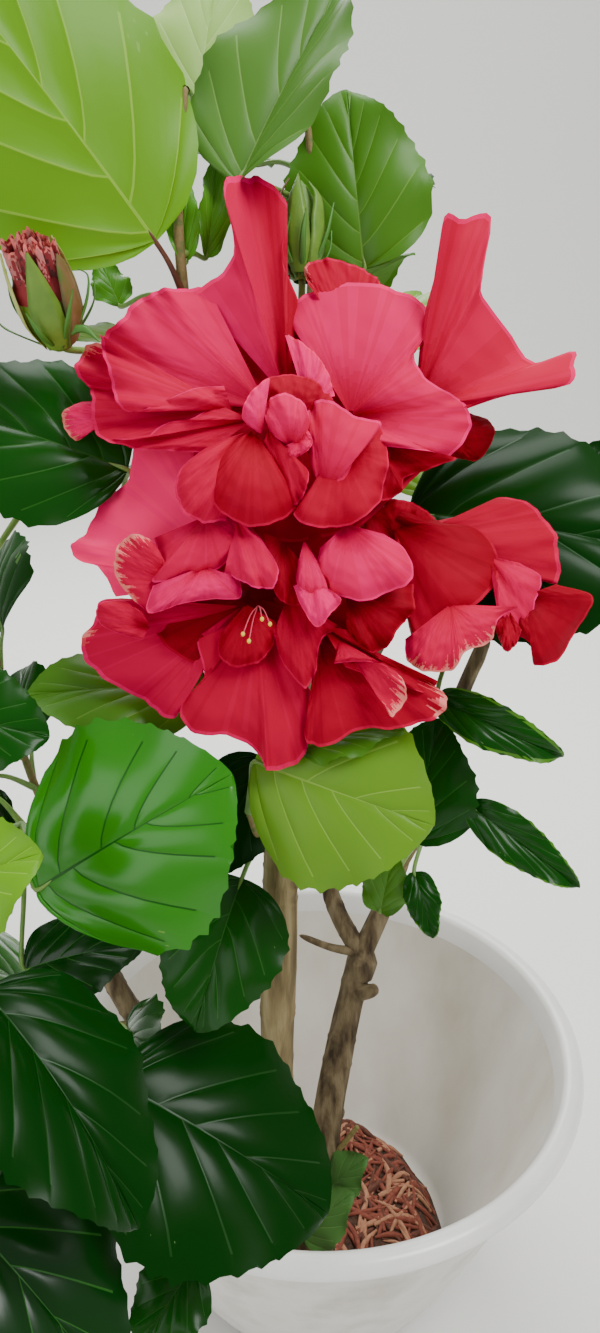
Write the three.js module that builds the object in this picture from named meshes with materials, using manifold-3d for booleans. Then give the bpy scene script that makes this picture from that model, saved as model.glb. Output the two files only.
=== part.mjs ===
// A potted hibiscus shrub with large double blooms, in millimetres, +Z up, on the pot's flat underside
import * as THREE from "three";
import Module from "manifold-3d";

const wasm = await Module();
wasm.setup();

// Driving dimensions
const POT = { rimRadius: 170, height: 185, footRadius: 88, wall: 5, floor: 6, lip: 7, swell: 0.8 };
const SOIL = { level: 50, x: -14, y: -26, flatRadius: 84, bankRadius: 104 };
const GAP = 0.3;
const MERGE = 0.2;
const WELD = 1000;
const BEAD = 0.45;
const STEM_SIDES = 9;
const PETIOLE_RADIUS = 1.1;
const BLADE_THICKNESS = 0.014;
const PETAL_THICKNESS = 1.3;
const LEAF_SHARE = 0.74;
const GOLDEN_ANGLE = 137.5;

// The eye of the reference photograph: what shows is placed by pixel and by distance in front of the eye
const EYE = { x: -12, y: -525, z: 655, pitch: 22, focal: 1007, middleX: 300, middleY: 666.5 };
const FRAME_WIDTH = 600;
const FRAME_HEIGHT = 1333;

const radians = THREE.MathUtils.degToRad;
const vec = (x, y, z) => new THREE.Vector3(x, y, z);
const UP = vec(0, 0, 1);
const FORWARD = vec(0, Math.cos(radians(EYE.pitch)), -Math.sin(radians(EYE.pitch)));
const LIFT = vec(0, Math.sin(radians(EYE.pitch)), Math.cos(radians(EYE.pitch)));

function seen([px, py, depth]) {
  const across = ((px - EYE.middleX) / EYE.focal) * depth;
  const above = ((EYE.middleY - py) / EYE.focal) * depth;
  return vec(EYE.x + across, EYE.y, EYE.z).addScaledVector(FORWARD, depth).addScaledVector(LIFT, above);
}

function pixelOf(point) {
  const ray = point.clone().sub(vec(EYE.x, EYE.y, EYE.z));
  const depth = ray.dot(FORWARD);
  const scale = EYE.focal / depth;
  return { px: EYE.middleX + scale * ray.x, py: EYE.middleY - scale * ray.dot(LIFT), depth };
}

function seeded(seed) {
  let state = seed;
  return () => {
    state = (state * 1664525 + 1013904223) % 4294967296;
    return state / 4294967296;
  };
}

// Closed solids from vertices and faces
const keyOf = (p) => [p.x, p.y, p.z].map((c) => Math.round(c * WELD)).join();

function solid(points, faces) {
  const index = new Map();
  const flat = [];
  const merged = points.map((p) => {
    const key = keyOf(p);
    if (!index.has(key)) {
      index.set(key, flat.length / 3);
      flat.push(p.x, p.y, p.z);
    }
    return index.get(key);
  });
  const kept = faces
    .map((face) => face.map((i) => merged[i]))
    .filter(([a, b, c]) => a !== b && b !== c && c !== a);
  const vertProperties = new Float32Array(flat);
  const triVerts = new Uint32Array(kept.flat());
  const made = new wasm.Manifold(new wasm.Mesh({ numProp: 3, vertProperties, triVerts }));
  if (made.volume() > 0) return made;
  return solid(points, faces.map(([a, b, c]) => [a, c, b]));
}

function fromGeometry(geometry) {
  const place = geometry.getAttribute("position");
  const vertices = Array.from({ length: place.count }, (_, i) => vec().fromBufferAttribute(place, i));
  const faces = Array.from({ length: place.count / 3 }, (_, i) => [3 * i, 3 * i + 1, 3 * i + 2]);
  return solid(vertices, faces);
}

const largest = (made) => made.decompose().sort((a, b) => b.volume() - a.volume())[0];

function welded(made) {
  const { vertProperties, triVerts } = made.getMesh();
  const places = Array.from(vertProperties);
  const corners = Array.from(triVerts);
  const threes = (list) => list.filter((_, i) => i % 3 === 0).map((_, i) => list.slice(3 * i, 3 * i + 3));
  return solid(threes(places).map((p) => vec(...p)), threes(corners));
}

// Where two parts of one body meet along an edge: a small bead for each, to join them there
function beadsOf(made) {
  const { vertProperties, triVerts } = made.getMesh();
  const corners = Array.from(triVerts, (i) => vec(...vertProperties.slice(3 * i, 3 * i + 3)));
  const keys = corners.map(keyOf);
  const met = new Set();
  const beads = [];
  keys.forEach((key, i) => {
    const after = i % 3 === 2 ? i - 2 : i + 1;
    const edge = `${key} ${keys[after]}`;
    if (met.has(edge)) {
      const size = corners[i].distanceTo(corners[after]) / 2 + BEAD;
      const middle = corners[i].clone().lerp(corners[after], 0.5);
      beads.push(fromGeometry(new THREE.OctahedronGeometry(size)).translate(middle.toArray()));
    }
    met.add(edge);
  });
  return beads;
}

// Joins closed pieces into one body. Sealed hollows are filled and loose scraps dropped.
function fuse(pieces) {
  const joined = (parts) => largest(welded(largest(wasm.Manifold.union(parts).simplify(MERGE))));
  let made = joined(pieces);
  for (let beads = beadsOf(made); beads.length > 0; beads = beadsOf(made)) made = joined([made, ...beads]);
  return made;
}

function meshOf(name, made, material) {
  const data = made.getMesh();
  const geometry = new THREE.BufferGeometry();
  geometry.setAttribute("position", new THREE.BufferAttribute(new Float32Array(data.vertProperties), 3));
  geometry.setIndex(new THREE.BufferAttribute(new Uint32Array(data.triVerts), 1));
  geometry.computeVertexNormals();
  const mesh = new THREE.Mesh(geometry, material);
  mesh.name = name;
  return mesh;
}

const curveOf = (points) => new THREE.CatmullRomCurve3(points, false, "centripetal");

// A tapering limb along a smooth curve, with flat ends
function tube(points, radii, sides, steps = (points.length - 1) * 3) {
  const curve = curveOf(points);
  const vertices = [];
  const faces = [];
  let side = curve.getTangent(0).cross(Math.abs(curve.getTangent(0).z) > 0.9 ? vec(1, 0, 0) : UP).normalize();
  for (let i = 0; i <= steps; i += 1) {
    const t = i / steps;
    const tangent = curve.getTangent(t);
    side = side.clone().addScaledVector(tangent, -side.dot(tangent)).normalize();
    const other = tangent.clone().cross(side);
    const place = (radii.length - 1) * t;
    const low = Math.min(Math.floor(place), radii.length - 2);
    const radius = THREE.MathUtils.lerp(radii[low], radii[low + 1], place - low);
    for (let k = 0; k < sides; k += 1) {
      const angle = (2 * Math.PI * k) / sides;
      const [across, over] = [radius * Math.cos(angle), radius * Math.sin(angle)];
      vertices.push(curve.getPoint(t).addScaledVector(side, across).addScaledVector(other, over));
    }
  }
  for (let i = 0; i < steps; i += 1) {
    for (let k = 0; k < sides; k += 1) {
      const a = i * sides + k;
      const b = i * sides + ((k + 1) % sides);
      faces.push([a, b, b + sides], [a, b + sides, a + sides]);
    }
  }
  for (let k = 1; k < sides - 1; k += 1) {
    faces.push([0, k + 1, k], [steps * sides, steps * sides + k, steps * sides + k + 1]);
  }
  return solid(vertices, faces);
}

// A thin closed blade over the surface pointAt(u, v), thickest inside and sharp along its rim
function blade(pointAt, rows, columns, thickness) {
  const vertices = [];
  const faces = [];
  const step = 0.01;
  const wide = columns.length;
  const layer = rows.length * wide;
  const normalAt = (u, v) => {
    const along = pointAt(Math.min(u + step, 1), v).sub(pointAt(Math.max(u - step, 0), v));
    const across = pointAt(u, Math.min(v + step, 1)).sub(pointAt(u, Math.max(v - step, -1)));
    return along.cross(across).normalize();
  };
  for (const offset of [thickness / 2, -thickness / 2]) {
    rows.forEach((u, i) => {
      columns.forEach((v, k) => {
        const rim = i === 0 || i === rows.length - 1 || k === 0 || k === wide - 1;
        vertices.push(rim ? pointAt(u, v) : pointAt(u, v).addScaledVector(normalAt(u, v), offset));
      });
    });
  }
  for (let i = 0; i < rows.length - 1; i += 1) {
    for (let k = 0; k < wide - 1; k += 1) {
      const [a, b, c, d] = [i * wide + k, i * wide + k + 1, (i + 1) * wide + k + 1, (i + 1) * wide + k];
      // The diagonal of each square runs so that no square folds onto its own rim
      const turned = (i < rows.length / 2 - 0.5) === (k < (wide - 1) / 2);
      const cut = turned ? [[a, b, c], [a, c, d]] : [[a, b, d], [b, c, d]];
      cut.forEach(([p, q, r]) => faces.push([p, q, r], [p + layer, r + layer, q + layer]));
    }
  }
  return solid(vertices, faces);
}

const FINE_GRID = { rows: [0, 0.07, 0.26, 0.54, 0.82, 1], columns: [-1, -0.5, 0, 0.5, 1] };
const PLAIN_GRID = { rows: [0, 0.1, 0.42, 0.76, 1], columns: [-1, 0, 1] };

// An ovate leaf: broad and round at its foot, drawn to a point, bent along its midrib and folded across it
function leafPoint(leaf, u, v) {
  const bend = radians(leaf.bend);
  const start = bend / 2;
  const turn = start - bend * u;
  const along = (leaf.long * (Math.sin(start) - Math.sin(turn))) / bend;
  const rise = (leaf.long * (Math.cos(turn) - Math.cos(start))) / bend;
  const normal = leaf.normal.clone()
    .multiplyScalar(Math.cos(turn))
    .addScaledVector(leaf.heading, -Math.sin(turn));
  const half = (leaf.wide / 2) * Math.sin(Math.PI * u ** leaf.belly) ** 0.7;
  const off = v * half;
  const lift = Math.tan(radians(leaf.fold)) * Math.abs(off) - (leaf.arch * off * off) / leaf.wide;
  const wave = leaf.wave * v * v * Math.sin(2 * Math.PI * 2.5 * u + leaf.phase + (v > 0 ? 1.3 : 0));
  return leaf.foot.clone()
    .addScaledVector(leaf.heading, along)
    .addScaledVector(leaf.normal, rise)
    .addScaledVector(leaf.side, off)
    .addScaledVector(normal, lift + wave);
}

// Finishes a leaf's own axes: heading to the tip, normal out of the upper face, side to side
function aimed(leaf) {
  const heading = leaf.heading.clone().normalize();
  const facing = leaf.face.clone().addScaledVector(heading, -leaf.face.dot(heading)).normalize();
  const normal = facing.applyAxisAngle(heading, radians(leaf.roll ?? 0));
  const side = heading.clone().cross(normal);
  const wide = LEAF_SHARE * leaf.long;
  const usual = { bend: 30, fold: 12, arch: 0.6, wave: 2, phase: 0, belly: 0.7, wide };
  return { ...usual, ...leaf, heading, normal, side };
}

function leafSolids(leaf) {
  const grid = leaf.fine ? FINE_GRID : PLAIN_GRID;
  const thickness = Math.max(BLADE_THICKNESS * leaf.long, 0.9);
  const inside = leafPoint(leaf, grid.rows[1], 0);
  const arch = 0.08 * leaf.root.distanceTo(leaf.foot);
  const middle = leaf.root.clone().lerp(leaf.foot, 0.55).addScaledVector(UP, arch);
  const radii = [1.3, 1, 1, 0.8].map((share) => share * PETIOLE_RADIUS);
  const petiole = tube([leaf.root, middle, leaf.foot, inside], radii, 3, 2);
  return [petiole, blade((u, v) => leafPoint(leaf, u, v), grid.rows, grid.columns, thickness)];
}

// Limbs: each from one end to the other, with its radius at every point
const STEMS = {
  stem_front: {
    points: [[-27, -82, 42], [-25, -107, 215], [-22, -122, 355], [-20, -112, 437]],
    radii: [12, 8.8, 8.6, 7.6],
  },
  stem_back: {
    points: [[-3, -66, 42], [4, -59, 165], [14, -46, 225], [24, -36, 273]],
    radii: [13, 9.4, 8, 7.6],
  },
  stem_left: {
    points: [[-74, -40, 42], [-96, -46, 195], [-124, -60, 290], [-138, -66, 365]],
    radii: [10, 6.6, 5.6, 4.4],
  },
  stem_rear: {
    points: [[-28, 34, 42], [-28, 64, 235], [-24, 84, 375], [-18, 88, 455]],
    radii: [11, 7.6, 6.4, 5.4],
  },
};
const BOUGHS = {
  bough_upper_left: {
    from: "stem_front",
    points: [[-20, -112, 437], [-46, -84, 495], [-66, -74, 565], [-60, -74, 631]],
    radii: [5.6, 4.6, 3.8, 3],
  },
  bough_upper: {
    from: "stem_front",
    points: [[-20, -112, 437], [-8, -84, 485], [-2, -66, 555], [-8, -60, 621]],
    radii: [5.2, 4.4, 3.6, 3],
  },
  bough_right: {
    from: "stem_back",
    points: [[24, -36, 273], [40, -30, 313], [62, -26, 395], [84, -40, 477]],
    radii: [6.2, 5.6, 4.6, 3.4],
  },
  bough_back: {
    from: "stem_back",
    points: [[24, -36, 273], [6, -27, 311], [0, 4, 395], [4, 26, 485]],
    radii: [5.6, 4.8, 4, 3.2],
  },
  bough_rear_left: {
    from: "stem_rear",
    points: [[-24, 78, 335], [-62, 92, 395], [-92, 84, 455]],
    radii: [4.4, 3.8, 3],
  },
  bough_rear_right: {
    from: "stem_rear",
    points: [[-25, 74, 305], [20, 100, 375], [56, 104, 445]],
    radii: [4.4, 3.8, 3],
  },
};

// Leaves that show: foot and tip as [pixel x, pixel y, distance], then length, width, and turns in degrees
const at = (foot, tip, long, wide, more = {}) => ({ foot, tip, long, wide, ...more });
const MASSES = {
  leaves_top_left: {
    twig: [[-60, -74, 625], [-62, -72, 675], [-58, -62, 720]],
    leaves: [
      at([156, 242, 408], [-70, -50, 362], 146, 108, { fold: 6, bend: 18, roll: -8 }),
      at([196, 118, 455], [222, -60, 470], 76, 56),
      at([186, 262, 420], [178, 178, 420], 44, 14, { fold: 30 }),
      at([206, 258, 425], [214, 160, 428], 46, 15, { fold: 30, roll: 30 }),
      at([120, 306, 450], [104, 272, 455], 26, 18),
    ],
    filler: { count: 5, seed: 11, from: 0.25 },
  },
  leaves_left: {
    twig: [[-56, -78, 533], [-92, -76, 555], [-128, -74, 570]],
    leaves: [
      at([128, 470, 428], [-100, 395, 418], 96, 74, { roll: -6, bend: 20 }),
      at([206, 690, 446], [19, 698, 432], 80, 52, { roll: 6 }),
      at([-76, 716, 402], [44, 736, 400], 52, 50, { roll: 10 }),
    ],
    filler: { count: 4, seed: 23, from: 0.45 },
  },
  leaves_top: {
    twig: [[-8, -60, 615], [-6, -38, 675], [-10, -26, 725]],
    leaves: [
      at([238, 184, 415], [352, -30, 424], 100, 68, { fold: 34, roll: -26, bend: 14 }),
      at([364, 270, 446], [348, 103, 440], 78, 66, { fold: 10, roll: -4 }),
    ],
    filler: { count: 5, seed: 37, from: 0.3 },
  },
  leaves_right: {
    twig: [[83, -39, 471], [72, -62, 515], [64, -66, 551]],
    leaves: [
      at([408, 512, 448], [690, 560, 432], 126, 106, { roll: 4, bend: 22, fold: 8 }),
      at([438, 698, 440], [557, 754, 432], 64, 21, { bend: 80, fold: 24, roll: 30 }),
    ],
    filler: { count: 4, seed: 41, from: 0.35 },
  },
  leaves_low_right: {
    twig: [[43, -30, 322], [52, -46, 356], [60, -62, 392], [62, -78, 420]],
    leaves: [
      at([414, 842, 452], [440, 722, 446], 58, 50, { roll: -14, fold: 8, lean: 0.3 }),
      at([468, 804, 444], [572, 882, 436], 60, 21, { bend: 30, fold: 22, roll: 24 }),
      at([414, 872, 500], [432, 937, 494], 34, 18, { bend: 46, fold: 16 }),
      at([380, 912, 510], [396, 846, 500], 36, 24, { fold: 16 }),
    ],
    filler: { count: 0, seed: 43, from: 0.5 },
  },
  leaves_centre: {
    twig: [[-21, -118, 397], [-30, -138, 417], [-34, -150, 437]],
    leaves: [
      at([254, 762, 414], [424, 822, 398], 78, 84, { fold: 6, bend: 20, roll: 10, lean: 0.1, belly: 0.85 }),
      at([300, 746, 412], [394, 732, 402], 44, 27, { roll: -20 }),
      at([242, 878, 446], [200, 1014, 440], 70, 58, { bend: 34, fold: 16 }),
      at([262, 756, 452], [214, 872, 448], 58, 44, { bend: 20 }),
    ],
    filler: { count: 0, seed: 47, from: 0.5 },
  },
  leaves_low_left: {
    twig: [[-137, -65, 357], [-142, -100, 395], [-140, -124, 415]],
    leaves: [
      at([36, 890, 416], [242, 768, 400], 98, 100, { fold: 6, bend: 26, roll: 6, lean: 0.3, belly: 0.95 }),
      at([-84, 900, 372], [48, 851, 362], 54, 56, { roll: 8 }),
      at([24, 970, 458], [140, 946, 454], 58, 44, { bend: 40 }),
    ],
    filler: { count: 5, seed: 53, from: 0.1 },
  },
  leaves_bottom_left: {
    twig: [[-109, -53, 237], [-120, -96, 271], [-124, -130, 291]],
    leaves: [
      at([-16, 990, 386], [127, 1212, 372], 106, 78, { fold: 16, bend: 32, roll: -24 }),
      at([112, 1080, 436], [324, 1212, 444], 114, 112, { fold: 8, bend: 24, roll: -6, belly: 0.8 }),
      at([-56, 1196, 400], [118, 1400, 396], 104, 86, { bend: 34, roll: -6 }),
      at([196, 1262, 452], [142, 1346, 440], 42, 36),
    ],
    filler: { count: 3, seed: 59, from: 0.1 },
  },
  leaves_foot: {
    twig: [[0, -64, 137], [12, -66, 153], [23, -66, 171]],
    leaves: [
      at([326, 1192, 610], [378, 1148, 596], 38, 30),
      at([304, 1236, 600], [362, 1185, 590], 44, 34, { bend: 42 }),
    ],
    filler: { count: 0, seed: 61, from: 0.5 },
  },
  leaves_far_left: {
    twig: [[-138, -66, 364], [-158, -48, 410], [-172, -30, 460]],
    leaves: [],
    filler: { count: 9, seed: 67, from: 0.15 },
  },
  leaves_back: {
    twig: [[4, 26, 484], [10, 34, 545], [18, 30, 610]],
    leaves: [],
    filler: { count: 10, seed: 71, from: 0.1 },
  },
  leaves_rear: {
    twig: [[-18, 88, 454], [-24, 92, 515], [-40, 80, 585]],
    leaves: [],
    filler: { count: 10, seed: 73, from: 0.1 },
  },
  leaves_rear_left: {
    twig: [[-92, 84, 454], [-118, 70, 505], [-132, 50, 555]],
    leaves: [],
    filler: { count: 9, seed: 79, from: 0.1 },
  },
  leaves_rear_right: {
    twig: [[56, 104, 444], [96, 100, 490], [128, 78, 535]],
    leaves: [],
    filler: { count: 10, seed: 83, from: 0.1 },
  },
  leaves_far_right: {
    twig: [[84, -40, 476], [124, -18, 505], [150, 14, 545]],
    leaves: [],
    filler: { count: 7, seed: 89, from: 0.3 },
  },
};

// Buds: foot and tip as the leaves' are, on a stalk from a place on a twig
const BUDS = {
  bud_left: {
    from: [-63, -74, 600],
    stalk: [[120, 356, 438], [62, 346, 408]],
    tip: [26, 236, 374],
    long: 44,
    thick: 11,
    shape: [0.4, 0.82, 1, 1.06, 1.04, 0.75],
  },
  bud_top: {
    from: [-3, -68, 580],
    stalk: [[302, 320, 436], [302, 282, 430]],
    tip: [300, 182, 428],
    long: 42,
    thick: 9,
    shape: [0.4, 0.8, 1, 0.95, 0.66, 0.25],
  },
};

// A petal fans out from its foot [pixel x, pixel y, distance] to a rim of pixels, at distances along it
const petal = (foot, rim, away, belly, more = {}) => ({ foot, rim, away, belly, ...more });
const BLOOMS = {
  bloom_upper: {
    joint: [-2, -66, 555],
    heart: [290, 420, 416],
    facing: [-0.02, -0.95, 0.3],
    petals: [
      // Standing petal, rolled at its tip, and the big one to its left
      petal([288, 400, 412], [[194, 293], [233, 256], [224, 184], [252, 176], [286, 200], [282, 258],
        [298, 298]],
        [412, 404, 400, 416, 410, 406, 412], 5),
      petal([268, 408, 412], [[208, 287], [170, 288], [142, 296], [118, 321], [98, 342], [104, 372],
        [120, 400]],
        [410, 414, 416, 414], 9),
      // The folded edge at the far left, its pale flap and the band below
      petal([220, 408, 404], [[132, 356], [103, 343], [86, 346], [76, 362], [80, 380], [92, 392],
        [90, 412], [98, 437], [128, 446]],
        [404, 412, 414, 406, 398], 3, { ruffle: 4, waves: 4 }),
      petal([112, 416, 412], [[94, 401], [78, 403], [62, 413], [64, 427], [76, 441], [90, 432], [98, 424]],
        [412, 418, 412], 2),
      petal([252, 420, 402], [[214, 402], [193, 418], [165, 423], [143, 438], [110, 440], [132, 448],
        [172, 451], [208, 453]],
        [396, 392, 398, 394], 2, { ruffle: 2 }),
      // The fan to the right of the top, its lower half, and the edge behind it
      petal([350, 416, 408], [[326, 376], [306, 345], [283, 308], [302, 297], [322, 286], [385, 285],
        [421, 302], [430, 322], [416, 352]],
        [402, 410, 414, 414, 408, 402], 7),
      petal([350, 416, 408], [[428, 338], [415, 352], [424, 376], [452, 394], [470, 409], [470, 430],
        [450, 457], [432, 452], [384, 446]],
        [404, 400, 402, 408, 400, 392], 8),
      petal([348, 340, 416], [[308, 284], [304, 268], [322, 258], [358, 266], [376, 277], [384, 288]],
        [412, 418, 422, 418], 2),
      // The petal with two horns, and the small dark one below it
      petal([414, 408, 412], [[422, 320], [438, 262], [445, 215], [466, 216], [489, 213], [484, 270],
        [482, 295], [508, 328], [536, 362], [573, 351], [576, 366], [572, 383], [506, 396], [467, 409]],
        [408, 402, 400, 418, 412, 410, 414, 416, 420, 410, 402, 408, 406], 4),
      petal([452, 432, 414], [[470, 413], [490, 421], [495, 434], [479, 460], [466, 460], [448, 456]],
        [416, 424, 416], 3),
      // Folds at the lower right
      petal([372, 436, 404], [[442, 456], [457, 458], [430, 469], [404, 480], [402, 492], [381, 501],
        [388, 464]],
        [402, 404, 396, 390], 3, { ruffle: 2 }),
      petal([338, 446, 396], [[382, 428], [389, 456], [385, 482], [380, 502], [353, 524], [326, 529],
        [293, 516], [306, 500]],
        [392, 386, 380, 380, 386], 6, { ruffle: 2 }),
      petal([322, 500, 392], [[304, 440], [308, 410], [322, 398], [352, 413], [382, 425], [360, 448],
        [350, 496]],
        [388, 384, 386, 386], 8),
      // The cup at the lower left with its paler rolled side
      petal([246, 432, 392], [[226, 438], [198, 453], [179, 472], [175, 494], [183, 512], [202, 523],
        [226, 521]],
        [396, 386, 380, 380, 386], 6),
      petal([254, 430, 388], [[234, 440], [215, 464], [209, 492], [222, 514], [246, 526], [276, 523],
        [297, 506], [290, 484], [266, 446]],
        [392, 384, 378, 378, 384, 390], 9),
      // The skirt behind them
      petal([296, 430, 412], [[190, 430], [194, 470], [204, 506], [240, 534], [300, 542], [352, 530],
        [396, 496], [432, 460]],
        [410, 404, 402, 402, 406], 2),
      petal([290, 432, 413], [[190, 436], [196, 384], [230, 338], [282, 304], [326, 336], [352, 384],
        [352, 430]],
        [412, 416, 418, 416, 412], 2),
      // Heart: a folded ball with curls round it
      petal([292, 424, 392], [[248, 400], [262, 381], [286, 374], [310, 378], [328, 391], [336, 404]],
        [392, 390, 392], 4),
      petal([268, 430, 384], [[262, 446], [272, 468], [296, 506], [306, 490], [309, 472], [294, 457],
        [280, 446]],
        [386, 382, 378, 382], 3),
      petal([292, 448, 384], [[270, 434], [265, 414], [270, 398], [286, 393], [302, 401], [310, 418],
        [308, 438]],
        [384, 380, 378, 380, 384], 7, { small: true }),
      petal([262, 434, 384], [[257, 432], [242, 418], [245, 402], [254, 388], [270, 378], [266, 392]],
        [386, 380, 384], 3, { small: true }),
      petal([298, 440, 382], [[284, 446], [290, 458], [305, 453], [313, 442], [308, 430]],
        [380, 376, 380], 2, { small: true }),
      petal([306, 404, 396], [[284, 332], [302, 342], [318, 356], [328, 372], [335, 396]],
        [404, 398, 394], 3, { small: true }),
    ],
  },
  bloom_lower: {
    joint: [-6, -78, 505],
    heart: [262, 596, 416],
    facing: [-0.14, -0.98, 0.0],
    petals: [
      // The large pale petal at the left
      petal([240, 580, 410], [[210, 452], [165, 450], [131, 449], [127, 482], [98, 503], [86, 534],
        [70, 544], [77, 560], [100, 568], [114, 597]],
        [410, 420, 424, 422, 414, 408], 8),
      // Lower left, bottom and lower right
      petal([242, 606, 410], [[120, 598], [97, 602], [96, 620], [79, 640], [84, 658], [102, 678],
        [140, 699], [156, 713], [176, 717], [186, 672], [193, 640]],
        [408, 414, 420, 418, 412, 406], 7),
      petal([258, 612, 410], [[196, 640], [204, 680], [180, 708], [192, 734], [226, 735], [258, 755],
        [270, 772], [296, 764], [309, 746], [310, 690]],
        [402, 404, 404, 400, 398, 396], 6),
      petal([318, 636, 404], [[312, 690], [306, 742], [322, 747], [362, 730], [400, 729], [436, 718],
        [449, 700], [438, 688], [408, 672]],
        [392, 390, 388, 390, 392], 4),
      petal([340, 640, 394], [[334, 664], [352, 662], [382, 664], [402, 678], [407, 698], [392, 717],
        [382, 700]],
        [384, 380, 378, 380], 3),
      petal([322, 626, 398], [[350, 630], [374, 654], [402, 672], [437, 681], [430, 692], [396, 684],
        [346, 668]],
        [388, 390, 386], 3),
      // Folds over the left petal, with the worn fringe
      petal([176, 584, 398], [[162, 566], [157, 546], [138, 534], [121, 541], [114, 558], [118, 582],
        [146, 612]],
        [392, 388, 392, 396], 4),
      petal([206, 516, 398], [[154, 538], [160, 566], [152, 582], [190, 577], [214, 571], [240, 549],
        [247, 534], [238, 520]],
        [396, 390, 386, 388, 394], 7),
      petal([204, 566, 390], [[152, 586], [146, 612], [160, 612], [178, 605], [208, 600], [241, 597],
        [240, 578]],
        [390, 388, 384, 384], 4),
      petal([236, 520, 392], [[249, 524], [266, 546], [279, 572], [272, 589], [256, 588], [240, 581],
        [224, 573]],
        [388, 378, 376, 382], 6),
      petal([150, 626, 400], [[143, 612], [120, 600], [97, 606], [98, 622], [120, 634], [142, 640]],
        [394, 402, 396], 3),
      // Dark petals behind the centre
      petal([262, 590, 414], [[176, 590], [186, 560], [205, 528], [250, 514], [310, 518], [352, 524],
        [378, 556], [392, 606], [382, 644], [340, 660]],
        [408, 406, 406, 404, 402], 2),
      petal([250, 596, 412], [[140, 606], [160, 640], [200, 668], [250, 680], [310, 680], [352, 652]],
        [406, 404, 404, 404], 2),
      // Centre: the rounded petal, two small ones and the dark ones behind
      petal([346, 524, 396], [[320, 548], [317, 574], [334, 594], [364, 601], [394, 591], [414, 577],
        [404, 548], [384, 534]],
        [390, 382, 378, 380, 388], 8),
      petal([304, 540, 392], [[298, 562], [297, 584], [310, 595], [330, 592], [322, 568]],
        [388, 382, 386], 4, { small: true }),
      petal([312, 578, 388], [[293, 586], [302, 608], [318, 628], [330, 615], [342, 600], [330, 590]],
        [386, 378, 382], 2, { small: true }),
      petal([346, 588, 396], [[414, 584], [414, 612], [401, 626], [384, 650], [366, 652], [346, 628]],
        [392, 388, 388], 5),
      petal([288, 594, 400], [[274, 632], [281, 660], [306, 688], [316, 672], [322, 640], [342, 628]],
        [394, 390, 392], 5),
      petal([246, 604, 400], [[220, 634], [218, 654], [232, 667], [258, 663], [273, 646], [276, 622]],
        [396, 392, 394], 5, { small: true }),
      petal([282, 540, 398], [[250, 526], [264, 560], [280, 600], [300, 606], [300, 560]],
        [392, 390, 392], 3),
    ],
  },
  bloom_right: {
    joint: [-5, -82, 489],
    heart: [384, 540, 420],
    facing: [0.26, -0.96, 0.02],
    petals: [
      petal([394, 546, 416], [[362, 548], [362, 516], [384, 500], [412, 502], [436, 518]],
        [412, 410, 410], 2, { small: true }),
      petal([392, 524, 414], [[404, 508], [440, 521], [480, 530], [501, 560], [492, 590], [466, 613],
        [440, 638], [420, 652], [406, 612], [408, 560]],
        [410, 410, 404, 398, 402, 410], 7),
      petal([404, 540, 414], [[436, 521], [470, 513], [500, 497], [530, 504], [552, 526], [560, 552],
        [557, 584], [541, 578]],
        [414, 420, 424, 420, 414], 7),
      petal([488, 556, 410], [[520, 563], [542, 578], [536, 600], [530, 626], [514, 632], [500, 624],
        [500, 590]],
        [408, 406, 402], 4),
      petal([524, 596, 410], [[556, 584], [594, 598], [578, 628], [558, 660], [534, 665], [532, 645],
        [518, 636]],
        [410, 416, 410, 406], 4),
      petal([450, 604, 400], [[522, 607], [498, 620], [492, 641], [466, 652], [452, 671], [424, 671],
        [408, 662], [404, 640]],
        [402, 394, 390, 398], 4),
      petal([506, 606, 406], [[494, 626], [500, 642], [506, 652], [516, 645], [522, 630]],
        [402, 398, 402], 2, { small: true }),
    ],
  },
};

// A petal's surface: u runs from its foot to its rim and v along the rim
function petalPoint(petal, u, v) {
  const rim = petal.edge.getPoint((v + 1) / 2);
  const swell = petal.belly * Math.sin(Math.PI * u) * (1 - 0.4 * v * v);
  const ruffle = petal.ruffle * u ** 3 * Math.sin(petal.waves * Math.PI * v + petal.phase);
  return petal.root.clone().lerp(rim, u).addScaledVector(petal.toward, swell + ruffle);
}

// Finishes a bloom's petals: the rim as a curve, with its distances spread evenly along it
function petalsOf(bloom) {
  return bloom.petals.map((petal, i) => {
    const edge = petal.rim.map(([px, py], k) => {
      const place = (k / (petal.rim.length - 1)) * (petal.away.length - 1);
      const low = Math.min(Math.floor(place), petal.away.length - 2);
      return seen([px, py, THREE.MathUtils.lerp(petal.away[low], petal.away[low + 1], place - low)]);
    });
    const root = seen(petal.foot);
    const toward = vec(EYE.x, EYE.y, EYE.z).sub(root).normalize();
    return { ruffle: 1.2, waves: 3, phase: 1.7 * i, ...petal, root, toward, edge: curveOf(edge) };
  });
}

const PETAL_ROWS = [0.12, 0.5, 1];
const SMALL_ROWS = [0.16, 0.6, 1];
const evenly = (count) => Array.from({ length: count + 1 }, (_, i) => (2 * i) / count - 1);
const CLAW = [2.4, 1];
const CALYX = { long: 24, thick: 9, behind: 15 };

// A spindle between two places, round in section: bud, calyx or swelling
function spindle(from, to, thick, shape, sides = 7) {
  const points = shape.map((_, i) => from.clone().lerp(to, i / (shape.length - 1)));
  return tube(points, shape.map((s) => s * thick), sides, (shape.length - 1) * 2);
}

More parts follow.
